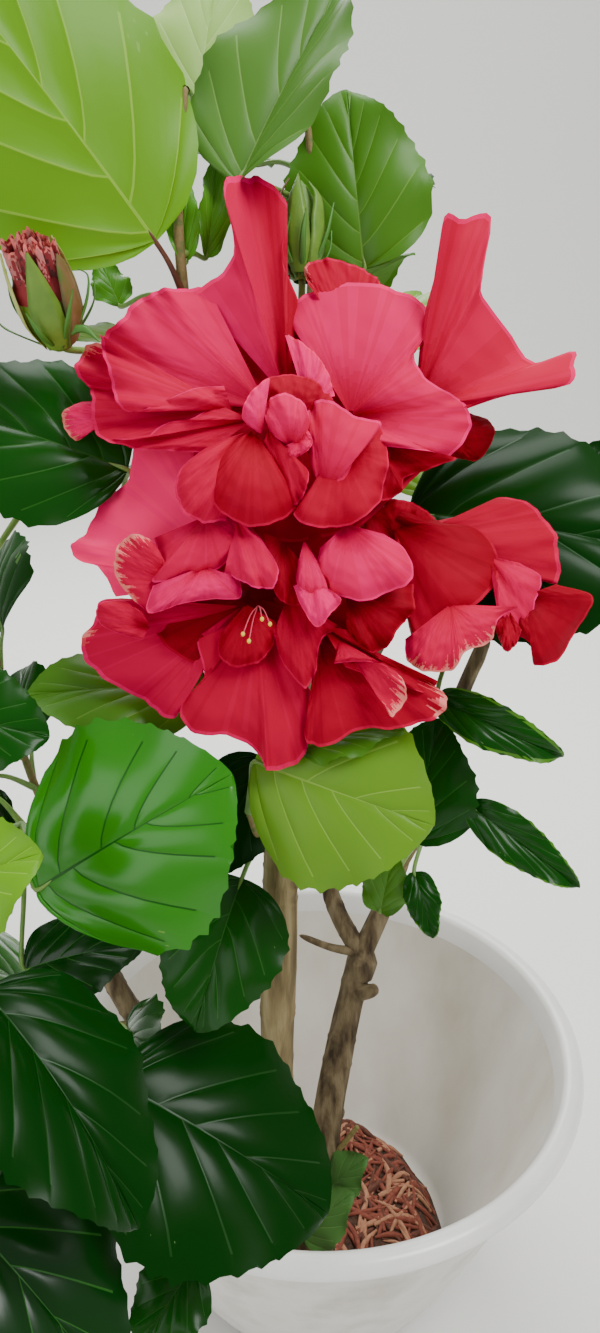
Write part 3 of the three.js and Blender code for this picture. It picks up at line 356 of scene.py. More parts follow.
UPPER_PETALS = [
    # Standing petal, rolled at its tip, and the big one to its left
    fan([288, 400, 412], [412, 404, 400, 416, 410, 406, 412], 5,
        [[194, 293], [233, 256], [224, 184], [252, 176], [286, 200], [282, 258], [298, 298]],
        tone=3.4, lean=-1.1, roll=0.4),
    fan([268, 408, 412], [410, 414, 416, 414], 9,
        [[208, 287], [170, 288], [142, 296], [118, 321], [98, 342], [104, 372], [120, 400]], tone=4.2),
    # The folded edge at the far left, its pale flap and the band below
    fan([220, 408, 404], [404, 412, 414, 406, 398], 3,
        [[132, 356], [103, 343], [86, 346], [76, 362], [80, 380], [92, 392], [90, 412], [98, 437],
         [128, 446]], tone=3.3, ruffle=4, waves=4, fringe=[0.0, 0.35]),
    fan([232, 410, 400], [402, 398, 394, 392, 396], 3,
        [[99, 334], [102, 352], [110, 378], [115, 400], [128, 412], [150, 407], [176, 395], [200, 387],
         [224, 386]], tone=3.6, ruffle=2.4, waves=5),
    fan([112, 416, 412], [412, 418, 412], 2,
        [[94, 401], [78, 403], [62, 413], [64, 427], [76, 441], [90, 432], [98, 424]],
        tone=4.4, fringe=[0.2, 0.9]),
    fan([252, 420, 402], [396, 392, 398, 394], 2,
        [[214, 402], [193, 418], [165, 423], [143, 438], [110, 440], [132, 448], [172, 451],
         [208, 453]], tone=3.4, ruffle=2),
    # The fan to the right of the top, its lower half, and the edge behind it
    fan([350, 416, 408], [402, 410, 414, 414, 408, 402], 7,
        [[326, 376], [306, 345], [283, 308], [302, 297], [322, 286], [385, 285], [421, 302], [430, 322],
         [416, 352]], tone=4.4),
    fan([350, 416, 408], [404, 400, 402, 408, 400, 392], 8,
        [[428, 338], [415, 352], [424, 376], [452, 394], [470, 409], [470, 430], [450, 457], [432, 452],
         [384, 446]], tone=4.1),
    fan([348, 340, 416], [412, 418, 422, 418], 2,
        [[308, 284], [304, 268], [322, 258], [358, 266], [376, 277], [384, 288]],
        tone=2.8, fringe=[0.0, 0.3]),
    # The petal with two horns, and the small one below it, dark with painted shade
    fan([414, 408, 412], [408, 402, 400, 418, 412, 410, 414, 416, 420, 410, 402, 408, 406], 4,
        [[422, 320], [438, 262], [445, 215], [466, 216], [489, 213], [484, 270], [482, 295], [508, 328],
         [536, 362], [573, 351], [576, 366], [572, 383], [506, 396], [467, 409]], tone=3.3),
    fan([452, 432, 414], [416, 424, 416], 3,
        [[470, 413], [490, 421], [495, 434], [479, 460], [466, 460], [448, 456]], tone=1.0),
    # Folds at the lower right
    fan([372, 436, 404], [402, 404, 396, 390], 3,
        [[442, 456], [457, 458], [430, 469], [404, 480], [402, 492], [381, 501], [388, 464]],
        tone=1.8, ruffle=2),
    fan([338, 446, 396], [392, 386, 380, 380, 386], 6,
        [[382, 428], [389, 456], [385, 482], [380, 502], [353, 524], [326, 529], [293, 516],
         [306, 500]], tone=2.6, ruffle=2),
    fan([322, 500, 392], [388, 384, 386, 386], 8,
        [[304, 440], [308, 410], [322, 398], [352, 413], [382, 425], [360, 448], [350, 496]], tone=3.9),
    # The cup at the lower left with its paler rolled side; the cup's darker tone is painted shade
    fan([246, 432, 392], [396, 386, 380, 380, 386], 6,
        [[226, 438], [198, 453], [179, 472], [175, 494], [183, 512], [202, 523], [226, 521]], tone=3.3),
    fan([254, 430, 388], [392, 384, 378, 378, 384, 390], 9,
        [[234, 440], [215, 464], [209, 492], [222, 514], [246, 526], [276, 523], [297, 506], [290, 484],
         [266, 446]], tone=2.3),
    # The skirt behind them
    fan([296, 430, 412], [410, 404, 402, 402, 406], 2,
        [[190, 430], [194, 470], [204, 506], [240, 534], [300, 542], [352, 530], [396, 496],
         [432, 460]], tone=1.7),
    fan([290, 432, 413], [412, 416, 418, 416, 412], 2,
        [[190, 436], [196, 384], [230, 338], [282, 304], [326, 336], [352, 384], [352, 430]], tone=2.6),
    # Heart: a folded ball with curls round it
    fan([292, 424, 392], [392, 390, 392], 4,
        [[248, 400], [262, 381], [286, 374], [310, 378], [328, 391], [336, 404]], tone=2.2),
    fan([268, 430, 384], [386, 382, 378, 382], 3,
        [[262, 446], [272, 468], [296, 506], [306, 490], [309, 472], [294, 457], [280, 446]], tone=3.0),
    fan([292, 448, 384], [384, 380, 378, 380, 384], 7,
        [[270, 434], [265, 414], [270, 398], [286, 393], [302, 401], [310, 418], [308, 438]],
        tone=4.3, small=True),
    fan([262, 434, 384], [386, 380, 384], 3,
        [[257, 432], [242, 418], [245, 402], [254, 388], [270, 378], [266, 392]], tone=4.9, small=True),
    fan([298, 440, 382], [380, 376, 380], 2,
        [[284, 446], [290, 458], [305, 453], [313, 442], [308, 430]], tone=4.3, small=True),
    fan([306, 404, 396], [404, 398, 394], 3,
        [[284, 332], [302, 342], [318, 356], [328, 372], [335, 396]], tone=4.9, small=True),
]
LOWER_PETALS = [
    # The large pale petal at the left
    fan([240, 580, 410], [410, 420, 424, 422, 414, 408], 8,
        [[214, 444], [165, 442], [134, 446], [127, 482], [98, 503], [86, 534], [70, 544], [77, 560],
         [100, 568], [114, 597]], tone=5.9),
    # Lower left, bottom and lower right
    fan([242, 606, 410], [408, 414, 420, 418, 412, 406], 7,
        [[120, 598], [97, 602], [96, 620], [79, 640], [84, 658], [102, 678], [140, 699], [156, 713],
         [176, 717], [186, 672], [193, 640]], tone=3.5, fringe=[0.2, 0.36]),
    fan([258, 612, 410], [402, 404, 404, 400, 398, 396], 6,
        [[196, 640], [204, 680], [180, 708], [192, 734], [226, 735], [258, 755], [270, 772], [296, 764],
         [309, 746], [310, 690]], tone=3.0),
    fan([318, 636, 404], [392, 390, 388, 390, 392], 4,
        [[312, 690], [306, 742], [322, 747], [362, 730], [400, 729], [436, 718], [449, 700], [438, 688],
         [408, 672]], tone=2.3, fringe=[0.6, 0.95]),
    fan([340, 640, 394], [384, 380, 378, 380], 3,
        [[334, 664], [352, 662], [382, 664], [402, 678], [407, 698], [392, 717], [382, 700]],
        tone=3.2, fringe=[0.45, 1.0]),
    fan([322, 626, 398], [388, 390, 386], 3,
        [[350, 630], [374, 654], [402, 672], [437, 681], [430, 692], [396, 684], [346, 668]], tone=2.2),
    # Folds over the left petal, with the worn fringe, partly painted sheen
    fan([176, 584, 398], [392, 388, 392, 396], 4,
        [[162, 566], [157, 546], [138, 534], [121, 541], [114, 558], [118, 582], [146, 612]],
        tone=3.4, fringe=[0.2, 1.0]),
    fan([206, 516, 398], [396, 390, 386, 388, 394], 7,
        [[154, 538], [160, 566], [152, 582], [190, 577], [214, 571], [240, 549], [247, 534],
         [238, 520]], tone=3.8),
    fan([204, 566, 390], [390, 388, 384, 384], 4,
        [[152, 586], [146, 612], [160, 612], [178, 605], [208, 600], [241, 597], [240, 578]], tone=4.6),
    fan([236, 520, 392], [388, 378, 376, 382], 6,
        [[249, 524], [266, 546], [279, 572], [272, 589], [256, 588], [240, 581], [224, 573]], tone=3.9),
    fan([150, 626, 400], [394, 402, 396], 3,
        [[143, 612], [120, 600], [97, 606], [98, 622], [120, 634], [142, 640]], tone=3.3),
    # Petals behind the centre, their dark tone painted shade
    fan([262, 590, 414], [408, 406, 406, 404, 402], 2,
        [[176, 590], [186, 560], [205, 528], [250, 514], [310, 518], [352, 524], [378, 556], [392, 606],
         [382, 644], [340, 660]], tone=1.8),
    fan([250, 596, 412], [406, 404, 404, 404], 2,
        [[140, 606], [160, 640], [200, 668], [250, 680], [310, 680], [360, 652], [384, 630]], tone=1.2),
    # Centre: the rounded petal, two small ones and the ones behind, dark with painted shade
    fan([346, 524, 396], [390, 382, 378, 380, 388], 8,
        [[320, 548], [317, 574], [334, 594], [364, 601], [394, 591], [414, 577], [404, 548],
         [384, 534]], tone=4.3),
    fan([304, 540, 392], [388, 382, 386], 4,
        [[298, 562], [297, 584], [310, 595], [330, 592], [322, 568]], tone=4.4, small=True),
    fan([312, 578, 388], [386, 378, 382], 2,
        [[293, 586], [302, 608], [318, 628], [330, 615], [342, 600], [330, 590]], tone=5.0, small=True),
    fan([346, 588, 396], [392, 388, 388], 5,
        [[414, 584], [414, 612], [401, 626], [384, 650], [366, 652], [346, 628]], tone=1.3),
    fan([288, 594, 400], [394, 390, 392], 5,
        [[274, 632], [281, 660], [306, 688], [316, 672], [322, 640], [342, 628]], tone=2.7),
    fan([246, 604, 400], [396, 392, 394], 5,
        [[220, 634], [218, 654], [232, 667], [258, 663], [273, 646], [276, 622]], tone=2.0, small=True),
    fan([282, 540, 398], [392, 390, 392], 3,
        [[250, 526], [264, 560], [280, 600], [300, 606], [300, 560]], tone=2.0),
]
RIGHT_PETALS = [
    fan([394, 546, 416], [412, 410, 410], 2,
        [[362, 548], [362, 516], [384, 500], [412, 502], [436, 518]], tone=1.8, small=True),
    fan([392, 524, 414], [410, 410, 404, 398, 402, 410], 7,
        [[404, 508], [440, 521], [480, 530], [501, 560], [492, 590], [466, 613], [440, 638], [420, 652],
         [406, 612], [408, 560]], tone=1.9, lean=0.7),
    fan([404, 540, 414], [414, 420, 424, 420, 414], 7,
        [[436, 521], [470, 513], [500, 497], [530, 504], [552, 526], [560, 552], [557, 584],
         [541, 578]], tone=2.8),
    fan([488, 556, 410], [408, 406, 402], 4,
        [[520, 563], [542, 578], [536, 600], [530, 626], [514, 632], [500, 624], [500, 590]], tone=3.9),
    fan([524, 596, 410], [410, 416, 410, 406], 4,
        [[556, 584], [594, 598], [578, 628], [558, 660], [534, 665], [532, 645], [518, 636]], tone=1.6),
    fan([450, 604, 400], [402, 394, 390, 398], 4,
        [[522, 607], [498, 620], [492, 641], [466, 652], [452, 671], [424, 671], [408, 662],
         [404, 640]], tone=3.6, fringe=[0.15, 0.92]),
    fan([506, 606, 406], [402, 398, 402], 2,
        [[494, 626], [500, 642], [506, 652], [516, 645], [522, 630]], tone=2.0, small=True),
]
BLOOMS = {
    "bloom_upper": {
        "joint": [-2, -66, 555],
        "heart": [290, 420, 416],
        "facing": [-0.02, -0.95, 0.3],
        "petals": UPPER_PETALS,
    },
    "bloom_lower": {
        "joint": [-6, -78, 505],
        "heart": [262, 596, 416],
        "facing": [-0.14, -0.98, 0.0],
        "petals": LOWER_PETALS,
    },
    "bloom_right": {
        "joint": [-5, -82, 489],
        "heart": [384, 540, 420],
        "facing": [0.26, -0.96, 0.02],
        "petals": RIGHT_PETALS,
    },
}


# Materials
GAMMA = 2.2
RAMP_START = 0.32
RAMP_LENGTH = 0.36
FINER = 6


def linear(red, green, blue):
    """A colour given as it looks on screen, from 0 to 255, as the shader takes it."""
    return [(c / 255) ** GAMMA for c in (red, green, blue)] + [1.0]


def plain(name, color, roughness, **sockets):
    """A finish of one colour. Sockets are named as the shader names them, with _ for each space."""
    made = bpy.data.materials.new(name)
    made.use_nodes = True
    shader = made.node_tree.nodes["Principled BSDF"]
    shader.inputs["Base Color"].default_value = linear(*color)
    shader.inputs["Roughness"].default_value = roughness
    for socket, value in sockets.items():
        shader.inputs[socket.replace("_", " ")].default_value = value
    return made


def grained(name, colors, roughness, grain, relief, stretch=(1, 1, 1), detail=4, **sockets):
    """A finish whose colour wanders between the given ones, with a fine relief in millimetres."""
    made = plain(name, colors[0], roughness, **sockets)
    tree = made.node_tree
    shader = tree.nodes["Principled BSDF"]
    place = tree.nodes.new("ShaderNodeTexCoord")
    mapping = tree.nodes.new("ShaderNodeMapping")
    mapping.inputs["Scale"].default_value = stretch
    noise = tree.nodes.new("ShaderNodeTexNoise")
    noise.inputs["Scale"].default_value = grain
    noise.inputs["Detail"].default_value = detail
    ramp = tree.nodes.new("ShaderNodeValToRGB")
    ramp.color_ramp.elements[0].position = RAMP_START
    ramp.color_ramp.elements[1].position = RAMP_START + RAMP_LENGTH
    for _ in colors[2:]:
        ramp.color_ramp.elements.new(0.5)
    for i, color in enumerate(colors):
        ramp.color_ramp.elements[i].position = RAMP_START + RAMP_LENGTH * i / (len(colors) - 1)
        ramp.color_ramp.elements[i].color = linear(*color)
    fine = tree.nodes.new("ShaderNodeTexNoise")
    fine.inputs["Scale"].default_value = grain * FINER
    bump = tree.nodes.new("ShaderNodeBump")
    bump.inputs["Distance"].default_value = relief * METRE
    tree.links.new(place.outputs["Object"], mapping.inputs["Vector"])
    tree.links.new(mapping.outputs["Vector"], noise.inputs["Vector"])
    tree.links.new(mapping.outputs["Vector"], fine.inputs["Vector"])
    tree.links.new(noise.outputs["Fac"], ramp.inputs["Fac"])
    tree.links.new(ramp.outputs["Color"], shader.inputs["Base Color"])
    tree.links.new(fine.outputs["Fac"], bump.inputs["Height"])
    tree.links.new(bump.outputs["Normal"], shader.inputs["Normal"])
    return made


# Leaf tints: blade, vein and underside colours, with the blade's roughness
TINTS = {
    "bright": [(44, 120, 14), (24, 82, 12), (104, 150, 48), 0.22],
    "mid": [(72, 120, 32), (96, 140, 50), (94, 138, 56), 0.36],
    "dark": [(18, 66, 8), (32, 84, 20), (74, 116, 46), 0.25],
    "deep": [(9, 50, 4), (16, 60, 10), (74, 116, 46), 0.25],
    "veined": [(8, 52, 10), (40, 92, 32), (74, 116, 46), 0.24],
    "dull": [(96, 140, 34), (122, 160, 60), (112, 150, 60), 0.4],
    # Beside its own yellow-green, the lime tint holds painted light: the glow of light through the leaf seen
    # from below
    "lime": [(96, 148, 22), (128, 172, 54), (110, 160, 46), 0.42],
    "pale": [(144, 182, 92), (164, 196, 118), (150, 184, 100), 0.5],
    "fresh": [(78, 136, 34), (112, 158, 60), (116, 158, 66), 0.36],
    "bluish": [(76, 118, 44), (104, 142, 66), (98, 148, 74), 0.36],
    "greyish": [(62, 98, 46), (88, 120, 68), (100, 126, 72), 0.5],
}
GLOSS = {"bright": 0.4, "deep": 0.11, "veined": 0.26, "dark": 0.17}
USUAL_GLOSS = 0.2
VEIN_GLOSS = 0.22
UNDER_ROUGHNESS = 0.6
# A petal's colours from the painted shade of its deepest fold to the painted light of its palest rim, with
# steps between them. Each petal's tone picks from them how lit or shaded it looks
PETAL_TONES = [
    (92, 0, 16), (126, 0, 28), (154, 0, 38), (180, 0, 52), (206, 0, 74), (232, 14, 104), (250, 34, 104)
]
TONE_STEPS = 4
TONE_COUNT = (len(PETAL_TONES) - 1) * TONE_STEPS + 1
PETAL_ROUGHNESS = 0.65
PETAL_GLOSS = 0.06

# Finishes of one colour: the colour and its roughness
PLAIN = {
    "bract": ((72, 124, 44), 0.5),
    "fringe": ((230, 118, 110), 0.7),
    "fringe_pink": ((222, 56, 76), 0.7),
    "bud_pink": ((186, 112, 108), 0.7),
    "bud_red": ((140, 34, 42), 0.65),
    "bud_dark": ((84, 20, 26), 0.65),
    "anther": ((244, 206, 70), 0.6),
    "filament": ((226, 90, 110), 0.5),
}
# Finishes whose colour wanders: colours, roughness, grain and relief
GRAINED = {
    "stalk": ([(96, 138, 58), (120, 150, 72)], 0.45, 160, 0.1),
    "stalk_brown": ([(78, 42, 26), (102, 62, 38)], 0.45, 160, 0.1),
    "young_bark": ([(104, 96, 52), (132, 112, 70), (88, 104, 48)], 0.7, 220, 0.25),
    "bark_tan": ([(78, 66, 42), (124, 108, 74), (156, 140, 102)], 0.8, 160, 0.5),
    "bark_grey": ([(58, 46, 34), (98, 84, 62), (126, 112, 86)], 0.85, 190, 0.6),
    "basin": ([(214, 210, 200), (224, 221, 213), (196, 190, 176)], 0.42, 24, 0.15),
    "basin_rim": ([(232, 231, 227), (240, 239, 236)], 0.3, 30, 0.08),
    "basin_inside": ([(204, 196, 180), (226, 221, 210), (240, 237, 229)], 0.62, 14, 0.3),
    "soil": ([(58, 40, 30), (84, 56, 42), (40, 28, 22)], 0.95, 260, 1.2),
    "shred_red": ([(104, 50, 38), (128, 68, 52)], 0.9, 400, 0.2),
    "shred_brown": ([(76, 42, 32), (98, 58, 44)], 0.9, 400, 0.2),
    "shred_pale": ([(146, 98, 74), (166, 120, 92)], 0.9, 400, 0.2),
    "calyx": ([(86, 122, 50), (112, 140, 62), (130, 110, 60)], 0.5, 120, 0.15),
    "sepal_yellow": ([(150, 168, 50), (186, 190, 104)], 0.5, 90, 0.15),
    "sepal_green": ([(86, 128, 40), (112, 148, 52)], 0.5, 90, 0.15),
    "sepal_brown": ([(96, 84, 34), (120, 96, 62), (88, 110, 44)], 0.55, 90, 0.15),
}
# What some of them have beside that
EXTRAS = {
    "bark_tan": {"stretch": (1, 1, 0.1), "Specular_IOR_Level": 0.3},
    "bark_grey": {"stretch": (1, 1, 0.22), "Specular_IOR_Level": 0.3},
    "basin": {"detail": 8, "Coat_Weight": 0.15},
    "basin_rim": {"Coat_Weight": 0.3},
    "basin_inside": {"stretch": (1, 1, 0.5), "detail": 10},
    "soil": {"detail": 8},
}

LOOKS = {name: plain(name, *finish) for name, finish in PLAIN.items()}
for name, finish in GRAINED.items():
    LOOKS[name] = grained(name, *finish, **EXTRAS.get(name, {}))
for tint, (blade, vein, under, roughness) in TINTS.items():
    gloss = GLOSS.get(tint, USUAL_GLOSS)
    LOOKS[f"leaf_{tint}"] = plain(f"leaf_{tint}", blade, roughness, Specular_IOR_Level=gloss)
    LOOKS[f"vein_{tint}"] = plain(f"vein_{tint}", vein, roughness + 0.1, Specular_IOR_Level=VEIN_GLOSS)
    LOOKS[f"under_{tint}"] = plain(f"under_{tint}", under, UNDER_ROUGHNESS)
for i in range(TONE_COUNT):
    tone = [np.interp(i / TONE_STEPS, range(len(PETAL_TONES)), channel) for channel in zip(*PETAL_TONES)]
    LOOKS[f"petal_{i}"] = plain(f"petal_{i}", tone, PETAL_ROUGHNESS, Specular_IOR_Level=PETAL_GLOSS)


# Leaves: the solids' blade, with rows that follow its side veins out to a toothed margin
LEAF_ARCH = 0.6
LEAF_WAVE = 2
LEAF_WAVES = 2.5
VEINS = [0.0, 0.1, 0.23, 0.38, 0.54, 0.7, 0.86, 1.0]
VEIN_HALF = 0.022
VEIN_SHIFT = 0.022
PUFF = 0.008
PUCKER = 0.0016
GROOVE = 0.004
GROOVE_WIDTH = 2.4
LEAF_THICKNESS = 0.35
TEETH = 0.035
FINE_SHARES = [0, VEIN_HALF, 0.16, 0.33, 0.5, 0.67, 0.84, 1 - VEIN_HALF]
PLAIN_SHARES = [0, VEIN_HALF, 0.28, 0.5, 0.72, 1 - VEIN_HALF]
FINE_COLUMNS = [0, 0.013, 0.12, 0.26, 0.42, 0.58, 0.74, 0.88, 0.95, 1]
PLAIN_COLUMNS = [0, 0.016, 0.2, 0.45, 0.7, 0.9, 1]
PETIOLE_RADII = [1.9, 1.3, 1.1, 1.1, 0.3]


def leaf_half(leaf, u):
    return leaf["wide"] / 2 * np.sin(np.pi * np.clip(u, 0, 1) ** leaf["belly"]) ** 0.7


def leaf_place(leaf, u, off, v, raised=0.0):
    """Places on a leaf: u along its midrib, off across it in millimetres, v the share of its half width."""
    bend = math.radians(leaf["bend"])
    start = bend / 2
    turn = start - bend * u
    along = leaf["long"] * (math.sin(start) - np.sin(turn)) / bend
    rise = leaf["long"] * (np.cos(turn) - math.cos(start)) / bend
    lift = math.tan(math.radians(leaf["fold"])) * np.abs(off) - LEAF_ARCH * off * off / leaf["wide"]
    wave = LEAF_WAVE * v * v * np.sin(2 * np.pi * LEAF_WAVES * u + leaf["phase"] + np.where(v > 0, 1.3, 0))
    lifted = lift + wave + raised
    return (
        leaf["foot"]
        + np.multiply.outer(along - np.sin(turn) * lifted, leaf["heading"])
        + np.multiply.outer(rise + np.cos(turn) * lifted, leaf["normal"])
        + np.multiply.outer(off, leaf["side"])
    )


def leaf_point(leaf, u, v):
    u, v = np.broadcast_arrays(np.asarray(u, float), np.asarray(v, float))
    return leaf_place(leaf, u, v * leaf_half(leaf, u), v)


def aimed(leaf):
    """Finishes a leaf's own axes: heading to the tip, normal out of the upper face, side to side."""
    heading = unit(leaf["heading"])
    face = leaf["face"]
    facing = unit(face - heading * (face @ heading))
    normal = turned(facing, heading, leaf.get("roll", 0))
    usual = {"bend": 30, "fold": 12, "phase": 0, "belly": 0.7}
    usual["wide"] = LEAF_SHARE * leaf["long"]
    axes = {"heading": heading, "normal": normal, "side": np.cross(heading, normal)}
    return {**usual, **leaf, **axes}


def vein_rows(shares, rng):
    """Rows of a blade from foot to tip, each as a place and a share of the way from one vein to the next."""
    veins = np.array(VEINS)
    veins[1:-1] += rng.uniform(-VEIN_SHIFT, VEIN_SHIFT, len(VEINS) - 2)
    rows = []
    for low, high in zip(veins, veins[1:]):
        rows += [(mix(low, high, share), share) for share in shares]
    rows.append((1.0, 0.0))
    return np.array(rows)


def leaf_looks(leaf, rows, columns, rng):
    """Each face's material, for the upper side and for the underside."""
    share = rows[:-1, 1]
    on_vein = (share < VEIN_HALF / 2) | (share > 1 - 1.5 * VEIN_HALF)
    on_midrib = np.minimum(np.abs(columns[:-1]), np.abs(columns[1:])) < 1e-9
    outer = np.maximum(np.abs(columns[:-1]), np.abs(columns[1:]))
    veined = on_midrib[None, :] | (on_vein[:, None] & (outer < 0.9)[None, :])
    tint = leaf["tint"]
    blades = np.full((len(share), len(columns) - 1), f"leaf_{tint}", dtype=object)
    # Pale worn margins, partly painted sheen along the edge
    if "margin" in leaf:
        edge = (outer > 0.96) | ((outer > 0.9) & (rng.random(len(outer)) < 0.5))
        wear_and_sheen = edge[None, :] & (rng.random(blades.shape) < 0.8)
        blades = np.where(wear_and_sheen, leaf["margin"], blades)
    backs = np.where((outer > 0.96)[None, :], blades, f"under_{tint}")
    return [list(np.where(veined, f"vein_{tint}", side).ravel()) for side in (blades, backs)]


def add_leaf(pile, leaf, fine, rng):
    """A leaf with its stalk. A fine one has more rows and columns, and puckers between its veins."""
    rows = vein_rows(FINE_SHARES if fine else PLAIN_SHARES, rng)
    half_columns = np.array(FINE_COLUMNS if fine else PLAIN_COLUMNS)
    columns = np.concatenate([-half_columns[:0:-1], half_columns])
    place, share = (np.clip(rows[:, 0], 0.004, 0.996)[:, None], rows[:, 1][:, None])
    across = np.abs(columns)[None, :]
    # The side veins of the two halves leave the midrib at places of their own
    one_half, other_half = rng.uniform(0.8, 1), rng.uniform(1, 1.2)
    slant = np.where(columns > 0, one_half, np.where(columns < 0, other_half, 1))
    place = place ** slant[None, :]
    # Each row starts on the midrib and ends further along, on the margin
    start = np.where(place < 0.2, 0.075 * place, 0.015 + 0.985 * (np.maximum(place - 0.2, 0) / 0.8) ** 1.1)
    end = 1 - (1 - place) ** 2.2
    u = start + (end - start) * across ** rng.uniform(1.05, 1.3)
    # Two teeth to each side vein, growing from none at the foot
    teeth = TEETH * smooth(0.12, 0.4, end) * np.cos(4 * np.pi * share) * smooth(0.85, 1, across)
    off = np.sign(columns)[None, :] * across * leaf_half(leaf, end) * (1 + teeth)
    v = np.clip(off / np.maximum(leaf_half(leaf, u), 0.5), -1, 1)
    # The blade swells between its veins and sinks along its midrib
    puff = PUFF * leaf["long"] * np.sin(np.pi * share) ** 0.7
    puff = puff * np.minimum(1, across / 0.15) * (1 - across**3)
    if fine:
        swell = np.sin(50 * across + 9 * share + 31 * place) * np.sin(23 * across + 40 * place)
        pucker = PUCKER * leaf["long"] * swell * np.sin(np.pi * share)
        puff = puff + pucker * smooth(0.05, 0.2, across) * (1 - across**4)
    groove = GROOVE * leaf["long"] * np.exp(-((off / GROOVE_WIDTH) ** 2)) * (1 - 0.6 * u)
    # Seen from below, a leaf swells the other way
    relief = (puff - groove) * (-1 if leaf.get("under") else 1)
    top = leaf_place(leaf, u, off, v, relief)
    bottom = leaf_place(leaf, u, off, v, relief - LEAF_THICKNESS * (1 - across**16))
    faces = grid_faces(len(rows), len(columns))
    upper, lower = leaf_looks(leaf, rows, columns, rng)
    pile.add(top.reshape(-1, 3), faces, upper)
    pile.add(bottom.reshape(-1, 3), faces[:, ::-1], lower)
    add_petiole(pile, leaf)


def add_petiole(pile, leaf):
    """A leaf's stalk, from its twig or from a place of its own, that runs on under the blade."""
    inside = leaf_point(leaf, 0.1, 0.0) - leaf["normal"] * 0.8
    root = seen(leaf["stalk_from"]) if "stalk_from" in leaf else leaf["root"]
    reach = np.linalg.norm(leaf["foot"] - root)
    middle = mix(root, leaf["foot"], 0.55) + UP * 0.08 * reach
    foot = leaf["foot"] - leaf["normal"] * 0.3
    pile.add(*tube([root, middle, foot, inside], PETIOLE_RADII, 8, 18), leaf.get("stalk_look", "stalk"))


# The seeded rule that fills the crown, as the solids have it
LIMB_CLEAR = 9
LEAF_CLEAR = 13
OWN_CLEAR = 9
BLOOM_CLEAR = 12
STALK_CLEAR = 9
CROWN_TOP = 781
RIM_CLEAR = 201
HIDDEN_DEPTH = 452
FRAME_EDGE = 12
USUAL_LEAN = 0.7
CROWN_REACH = 160
# How many places a limb, a bud and a twig claim along their length
LIMB_CLAIMS = 24
BUD_CLAIMS = 14
TWIG_CLAIMS = 10
# Where a blade, a petal, a stalk and a twig are sampled
BLADE_SAMPLES = ([0.12, 0.36, 0.6, 0.84, 1], [-0.85, -0.4, 0, 0.4, 0.85])
PETAL_SAMPLES = ([0.4, 0.7, 1], [-1, -0.5, 0, 0.5, 1])
STALK_SAMPLES = [0.3, 0.5, 0.7, 0.9]
TWIG_SAMPLES = 0.1 + 0.044 * np.arange(21)
# How a grown leaf starts along its twig and outward, how far its foot rises, and how it faces the sky
TRIES_PER_LEAF = 3
ALONG_TWIG = 0.5
OUTWARD = 0.6
FOOT_RISE = 5
FACE_UP = 0.9
FACE_OUT = 0.5
# What a grown leaf varies by: the least and the span of each draw
DRAWS = {
    "spin": (0, 30),
    "rise": (-0.25, 0.3),
    "long": (62, 34),
    "stalk": (20, 22),
    "bend": (24, 24),
    "roll": (-20, 40),
    "phase": (0, 6.28),
}
# Parts of the photograph where the crown lets the background through: boxes of left, top, right and bottom
OPEN_SKY = [
    [440, -50, 620, 415],
    [330, -50, 620, 110],
    [25, 505, 115, 650],
    [440, 660, 620, 1340],
    [292, 890, 620, 1340],
    [262, 1230, 620, 1340],
]
taken = {"owner": [], "p": [], "clear": []}


def claim(owner, points, clear):
    for p in points:
        taken["owner"].append(owner)
        taken["p"].append(p)
        taken["clear"].append(clear)


def blade_samples(leaf):
    u, v = np.meshgrid(*BLADE_SAMPLES, indexing="ij")
    return leaf_point(leaf, u, v).reshape(-1, 3)


def stalk_samples(leaf):
    return [mix(leaf["root"], leaf["foot"], t) for t in STALK_SAMPLES]


def shows_where_open(p):
    """Whether a place would show in the photograph in front of what is there, or where nothing is."""
    ray = p - EYE
    depth = ray @ FORWARD
    px = MIDDLE[0] + FOCAL * ray[0] / depth
    py = MIDDLE[1] - FOCAL * (ray @ LIFT) / depth

    def within(box):
        return box[0] < px < box[2] and box[1] < py < box[3]

    if not within([-FRAME_EDGE, -FRAME_EDGE, FRAME_WIDTH + FRAME_EDGE, FRAME_HEIGHT + FRAME_EDGE]):
        return False
    return depth < HIDDEN_DEPTH or any(within(box) for box in OPEN_SKY)


def fits(owner, leaf):
    """Whether a leaf keeps clear of what has claimed its place, and to the crown's limits."""
    own = np.array([name == owner for name in taken["owner"]])
    places = np.array(taken["p"])
    clear = np.where(own, OWN_CLEAR, np.array(taken["clear"]))
    for p in blade_samples(leaf):
        if not RIM_CLEAR < p[2] < CROWN_TOP or shows_where_open(p):
            return False
        if np.any(np.linalg.norm(places - p, axis=1) <= clear):
            return False
    others = places[~own]
    return all(np.all(np.linalg.norm(others - p, axis=1) > STALK_CLEAR) for p in stalk_samples(leaf))


def claim_leaf(owner, leaf):
    claim(owner, blade_samples(leaf), LEAF_CLEAR)
    claim(owner, stalk_samples(leaf), STALK_CLEAR)


def nearest_on(twig, foot):
    places = curve_point(twig, TWIG_SAMPLES)
    return places[np.argmin(np.linalg.norm(places - foot, axis=1))]


def listed_leaves(mass):
    """The leaves that show, which face the eye and lean back towards the sky."""
    made = []
    for leaf in mass["leaves"]:
        foot = seen(leaf["foot"])
        face = unit(EYE - foot) + UP * leaf.get("lean", USUAL_LEAN)
        placed = {"face": face, "foot": foot, "heading": seen(leaf["tip"]) - foot}
        made.append(aimed({**leaf, **placed, "root": nearest_on(mass["twig"], foot)}))
    return made


FILLER_TINTS = ["dark", "mid", "deep", "mid", "dark", "bright", "dull"]


